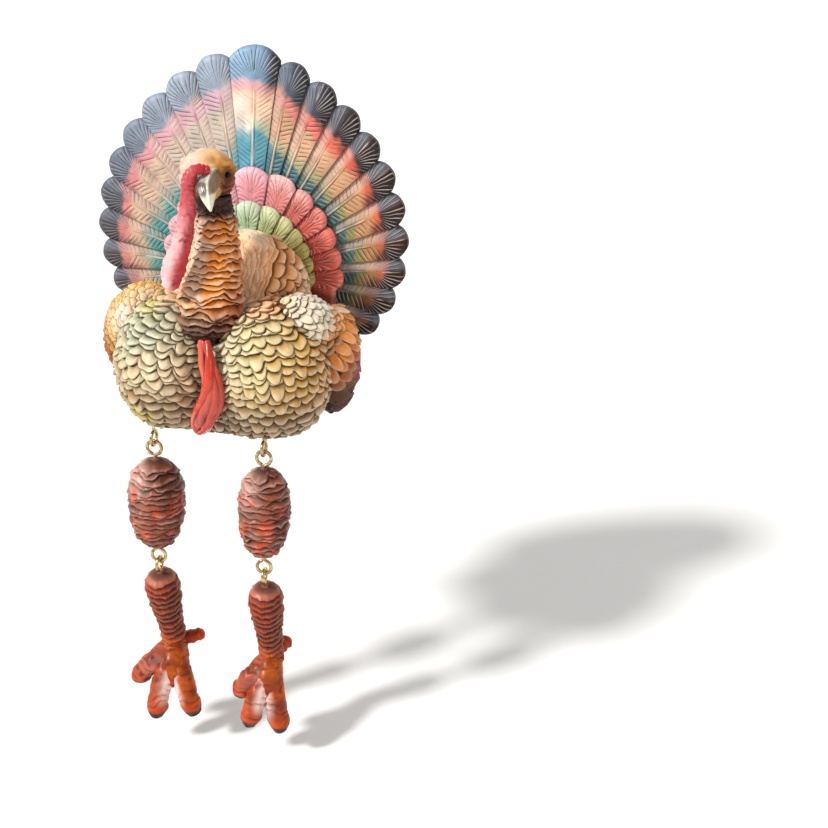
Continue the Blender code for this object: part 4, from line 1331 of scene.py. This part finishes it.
class Leg:
    """One leg: the x of its rings, the z of its hip ring, its thigh's radius, the bare shank at each end, the
    angle in degrees at which the foot hangs, how far its shank leans, and where its toes end."""

    def __init__(self, x, ring_z, thigh_r, gaps, tilt, lean, toes, hind_toe):
        self.x, self.ring_z, self.thigh_r, self.gaps = x, ring_z, thigh_r, gaps
        self.tilt, self.lean, self.toes, self.hind_toe = math.radians(tilt), lean, toes, hind_toe
        self.upper_z = ring_z - LINK
        self.thigh_top = self.upper_z - RING_OUT - gaps[0]
        self.lower_z = self.thigh_top - THIGH_LENGTH - gaps[1] - RING_OUT
        self.foot_ring_z = self.lower_z - LINK
        self.foot_top = self.foot_ring_z - RING_OUT - gaps[1]
        self.knee_z = self.lower_z - RING_R


LEGS = {
    "left": Leg(-23.8, -5.9, 11.7, (1.4, 0.8), 8.3, 3.6,
                ((-14.6, -12.0, -12.3), (-3.6, -21.0, -24.2), (13.0, -17.0, -23.6)), (11.0, 4.0, 2.0)),
    "right": Leg(22.2, -5.1, 10.8, (0.9, 1.6), 7.8, 1.6,
                 ((-12.0, -12.0, -12.2), (-5.5, -20.0, -21.8), (8.0, -17.0, -25.6)), (5.0, 9.0, 1.0)),
}


def swung(made, leg):
    """Turn everything in a casting about the knee, to the angle at which the foot hangs."""
    turn = np.array(Matrix.Rotation(leg.tilt, 3, "X"))
    pivot = np.array([leg.x, HIP_Y, leg.knee_z])
    made.points = [(points - pivot) @ turn.T + pivot for points in made.points]
    return made


def screw_eye(name, leg, ring_z, shank, face_on, body, foot=False):
    """A ring of wire with its shank, screwed into the casting above or below it."""
    toward = math.copysign(1.0, shank)
    path = [(0.0, RING_OUT + abs(shank) - 0.35)]
    path += [(0.0, RING_OUT + 0.3 + (abs(shank) - 0.8) * share) for share in (0.8, 0.6, 0.4, 0.2, 0.0)]
    path += [(0.1, RING_OUT + 0.05), (0.55, RING_R + 0.05)]
    path += [(RING_R * math.cos(turn), RING_R * math.sin(turn)) for turn in RING_TURNS]
    ring = np.array([leg.x, HIP_Y, ring_z])
    line = [ring + ((across, 0, toward * up) if face_on else (0, across, toward * up)) for across, up in path]
    made = Casting()
    tube(made, line, [SHOWN_WIRE_R] * len(line), lambda along, turn, points: (linear("d8bd86"), 0.0),
         columns=16, steps=4, ends=(0.5, 0.5))
    made = swung(made, leg) if foot else made
    made.piece(name + "_wire", body, [name], "brass", BRASS, sharp=80)


def thigh_paint(middle_x, heat, seed):
    """Mauve and red-brown resin with orange-red patches, a painted pink highlight near the top on the left,
    and painted shade on the right and toward the bottom.

    The patches are mostly low down where heat is positive, and high up where it is negative.
    """
    def paint(points, share, band):
        z, across = points[..., 2], points[..., 0] - middle_x
        level = (z.max() - z) / THIGH_LENGTH
        colour = tint(linear("9a5844"), "5c2a1c", 0.5 + 0.7 * noise(points, 6.0, seed))
        # Painted highlight: pink near the top on the left, toward the light.
        colour = tint(colour, "dcb0a4", ease(0.6, 0.05, level) * ease(5, -6, across) * 0.75)
        patch = ease(0.2, 0.7, noise(points, 5.0, seed + 1) + heat * (level - 0.35))
        colour = tint(colour, "d85a38", patch * 0.7)
        colour = tint(colour, "6e675c", ease(0.45, 0.85, noise(points, 5.0, seed + 2)) * 0.75)
        # Painted shade: darker on the right, away from the light, and toward the bottom.
        dark = tint(colour, "401608", ease(4, 10, across) * 0.4 + ease(0.7, 1.0, level) * 0.4)
        return tint(dark, "f0c0b4", hump(share, 0.8, 0.13) * 0.5 * (0.4 + 0.8 * noise(points, 3.0, seed + 3)))
    return paint


def make_thigh(side, leg, seed, heat):
    made = Casting()
    top, bottom = leg.thigh_top, leg.thigh_top - THIGH_LENGTH

    def centre(z):
        return np.stack([leg.x + 0 * z, HIP_Y + 0 * z, z], -1)

    def radius(z):
        return leg.thigh_r * np.interp((top - z) / THIGH_LENGTH, THIGH_DOWN, THIGH_WIDE)

    def wave(turn, number):
        ring = edge_places(turn, 9, number * 5.3)
        return 1.5 * noise(ring, 5.0, seed) + noise(ring, 2.4, seed + 5) + 0.4 * noise(ring, 1.1, seed + 6)

    ledges(made, top, bottom, centre, radius, wave, thigh_paint(leg.x, heat, seed), count=18, lip=1.3,
           inset=0.75, columns=130, round_lip=0.3)
    made.piece(f"thigh_{side}_skin", f"leg_{side}", [f"thigh_{side}"], "leg",
               painted(f"thigh_{side}_paint", gloss=0.4, coat=0.12, shine=0.28, wash=0.97,
                       wash_code="1c0804"))


def make_foot(side, leg, seed):
    made = Casting()
    top, bottom = leg.foot_top, leg.foot_top - FOOT_LENGTH

    def centre(z):
        share = (top - z) / FOOT_LENGTH
        return np.stack([leg.x + leg.lean * np.maximum(share, 0) ** 1.5, HIP_Y + 0 * z, z], -1)

    def radius(z):
        return np.interp((top - z) / FOOT_LENGTH, SHANK_DOWN, SHANK_WIDE)

    def wave(turn, number):
        ring = edge_places(turn, 7, number * 5.3)
        vee = 1.8 * np.abs(((turn + math.pi) % TAU - math.pi) / math.pi) ** 0.8 * 1.6 - 0.9
        return vee * ease(0, 3, number) + 0.7 * noise(ring, 4.0, seed)

    def shank_paint(points, share, band):
        level = (top - points[..., 2]) / FOOT_LENGTH
        brown = 0.5 + 0.5 * noise(points, 5.0, seed + 1) + 0.5 * hump(level, 0.5, 0.2)
        colour = tint(linear("943018"), "54160a", brown)
        colour = tint(colour, "d09080", ease(0.13, 0.02, level) * 0.6)
        colour = tint(colour, "b0501f", ease(0.74, 0.86, level) * 0.9)
        # Painted shade: the right side of the shank, away from the light, is darker.
        right = ease(1, 6, points[..., 0] - leg.x - leg.lean * level)
        colour = tint(colour, "3c1008", right * 0.6)
        return tint(colour, "dc7c54", hump(share, 0.75, 0.15) * 0.35)

    ledges(made, top, bottom, centre, radius, wave, shank_paint, count=14, lip=1.15, inset=0.6, columns=110,
           round_lip=0.25)
    ankle = centre(np.array(bottom)) + (0.0, -0.5, 1.0)
    bend = np.array([0.0, -2.5, 2.0])

    def grooves(along, turn, points):
        """1 down in the grooves between the scutes of a toe."""
        ring = along * 34 + 0.7 * np.cos(turn) + 2.6 * noise(points, 4.0, seed + 3)
        return hump((ring / math.pi) % 1 - 0.5, 0, 0.18) * ease(-0.35, 0.15, noise(points, 3.2, seed + 8))

    def pad_grooves(along, turn, points):
        return -0.7 * grooves(0.55 * along, turn, points)

    def scutes(along, turn, points):
        knuckle = 0.5 * hump(along, 0.55, 0.1) + 0.5 * hump(along, 0.82, 0.08)
        return (knuckle - 0.4 * grooves(along, turn, points) * ease(0.9, 0.8, along) - 0.2
                + 0.4 * noise(points, 3.0, seed + 4) + 0.2 * noise(points, 1.3, seed + 5))

    def toe_paint(pink, tone):
        """pink is how much of a toe's flank is pale, and on which side: + is the right one."""
        def paint(along, turn, points):
            offset = points - points.mean(1, keepdims=True)
            flank = ease(-0.2, 0.9, offset[..., 0] * pink / 4 + 0.25 * noise(points, 3.0, seed + 9))
            colour = tint(linear(tone), "7a2e16", 0.45 + 0.8 * noise(points, 4.0, seed + 7))
            flank = flank * ease(0.85, 0.6, along) * ease(0.25, 0.4, along) * abs(pink)
            colour = tint(colour, "ffe0da", flank)
            colour = tint(colour, "cc5028", ease(0.72, 0.86, along) * 0.5)
            # Painted shade: the underside of each toe is darkened through the hollow.
            low = -offset[..., 2] / 3.5
            claw = ease(0.84, 0.9, along + 0.07 * low)
            colour = tint(colour, "060403", claw)
            hollow = 0.85 * grooves(along, turn, points) * ease(0.92, 0.84, along) + 0.9 * ease(0.1, 0.9, low)
            return colour, np.clip(hollow * (1 - claw), 0, 1)
        return paint

    for toe, look in zip(leg.toes, TOE_LOOKS):
        reach = np.array(toe)
        line = [ankle, ankle + 0.35 * reach + bend, ankle + 0.65 * reach + bend,
                ankle + 0.88 * reach + 0.4 * bend, ankle + 0.97 * reach]
        tube(made, line, TOE_RADII, toe_paint(*look), columns=48, steps=12, bumps=scutes, ends=(0, 0.5))
    pad = (np.array(leg.toes[1]) + leg.toes[2]) / 2
    line = [ankle + (0, -1, 0), ankle + 0.3 * pad + bend, ankle + 0.55 * pad + 0.7 * bend]
    tube(made, line, PAD_RADII, toe_paint(0.01, "b85c2c"), columns=48, steps=12, bumps=pad_grooves,
         ends=(0, 0.5))
    heel = ankle + (0.0, 1.0, 1.0)
    hind = np.array(leg.hind_toe)
    line = [heel + share * hind for share in (0.0, 0.5, 0.85, 0.96)]
    tube(made, line, HIND_RADII, lambda along, turn, points: (tint(linear("8c3018"), "b04428", along), 0.2),
         columns=30, steps=7, bumps=scutes, ends=(0, 0.6))
    swung(made, leg).piece(f"foot_{side}_skin", f"lower_leg_{side}", [f"foot_{side}"], "leg",
                           painted(f"foot_{side}_paint", gloss=0.4, coat=0.1, shine=0.28, wash=0.95,
                                   wash_code="200a05"))


def make_leg(side, leg, seed, heat):
    screw_eye(f"hip_eye_{side}", leg, leg.ring_z, SHANK_TOP_Z - leg.ring_z - RING_OUT, False, "bird")
    screw_eye(f"thigh_top_eye_{side}", leg, leg.upper_z, -leg.gaps[0] - SHANK_IN, True, f"leg_{side}")
    screw_eye(f"thigh_bottom_eye_{side}", leg, leg.lower_z, leg.gaps[1] + SHANK_IN, True, f"leg_{side}")
    screw_eye(f"foot_eye_{side}", leg, leg.foot_ring_z, -leg.gaps[1] - SHANK_IN, False, f"lower_leg_{side}",
              True)
    make_thigh(side, leg, seed, heat)
    make_foot(side, leg, seed + 40)


BRASS = brass()
make_fan()
make_coverts()
make_body()
make_wings()
make_neck()
make_head()
make_beak()
make_snood()
make_beard()
make_leg("left", LEGS["left"], seed=120, heat=-0.4)
make_leg("right", LEGS["right"], seed=160, heat=0.7)

# ---------------------------------------------------------------- stage, light and camera

CAMERA_AT = (0.13663, -0.42357, 0.17509)
CAMERA_AXES = ((0.9862, -0.1039, 0.1290), (0.1584, 0.3632, -0.9182), (0.0485, 0.9259, 0.3746))
CAMERA_LENS = 47.83
WORLD_STRENGTH = 0.42
FLOOR_Z = -0.150
FLOOR_WIDE = 20.0
BACKDROP = ((-20.0, 0.0), (3.0, 0.0), (3.6, 0.08), (4.1, 0.3), (4.45, 0.7), (4.6, 1.3), (4.6, 6.0))


def make_stage():
    floor = bpy.data.meshes.new("floor")
    points = [(x, y, FLOOR_Z + z) for y, z in BACKDROP for x in (-FLOOR_WIDE, FLOOR_WIDE)]
    floor.from_pydata(points, [], [(2 * i, 2 * i + 1, 2 * i + 3, 2 * i + 2)
                                   for i in range(len(BACKDROP) - 1)])
    floor.polygons.foreach_set("use_smooth", [True] * len(floor.polygons))
    obj = bpy.data.objects.new("floor", floor)
    bpy.context.scene.collection.objects.link(obj)
    n = Nodes("pale_floor")
    n.put(n.blend(n.noise(60.0, 4.0), tuple(linear("fafaf9")), tuple(linear("fdfdfd"))),
          n.shader.inputs["Base Color"])
    n.shader.inputs["Roughness"].default_value = 0.9
    floor.materials.append(n.material)


def make_light(name, place_at, target, size, power, colour):
    light = bpy.data.lights.new(name, "AREA")
    light.shape = "DISK"
    light.size = size
    light.energy = power
    light.color = colour
    obj = bpy.data.objects.new(name, light)
    aim = np.array(target) - np.array(place_at)
    obj.rotation_mode = "QUATERNION"
    obj.rotation_quaternion = Vector(aim).to_track_quat("-Z", "Y")
    obj.location = place_at
    bpy.context.scene.collection.objects.link(obj)


def make_sun(name, toward, softness, strength, colour):
    light = bpy.data.lights.new(name, "SUN")
    light.angle = math.radians(softness)
    light.energy = strength
    light.color = colour
    obj = bpy.data.objects.new(name, light)
    obj.rotation_mode = "QUATERNION"
    obj.rotation_quaternion = Vector(toward).to_track_quat("Z", "Y")
    bpy.context.scene.collection.objects.link(obj)


def make_camera():
    camera = bpy.data.cameras.new("camera")
    camera.sensor_width = 36.0
    camera.lens = CAMERA_LENS
    camera.clip_start = 0.01
    camera.clip_end = 100.0
    obj = bpy.data.objects.new("camera", camera)
    matrix = Matrix(CAMERA_AXES).to_4x4()
    matrix.translation = CAMERA_AT
    obj.matrix_world = matrix
    bpy.context.scene.collection.objects.link(obj)
    bpy.context.scene.camera = obj


def make_world():
    world = bpy.data.worlds.new("studio")
    world.use_nodes = True
    background = world.node_tree.nodes["Background"]
    background.inputs["Color"].default_value = (1.0, 0.99, 0.975, 1.0)
    background.inputs["Strength"].default_value = WORLD_STRENGTH
    bpy.context.scene.world = world
    bpy.context.scene.view_settings.view_transform = "Standard"


make_stage()
make_sun("key", toward=(-0.62, -0.58, 0.72), softness=7.0, strength=2.85, colour=(1.0, 0.98, 0.95))
make_light("fill", place_at=(0.7, -0.9, 0.5), target=(0, 0, 0), size=0.5, power=1.2, colour=(1.0, 0.97, 0.94))
make_camera()
make_world()
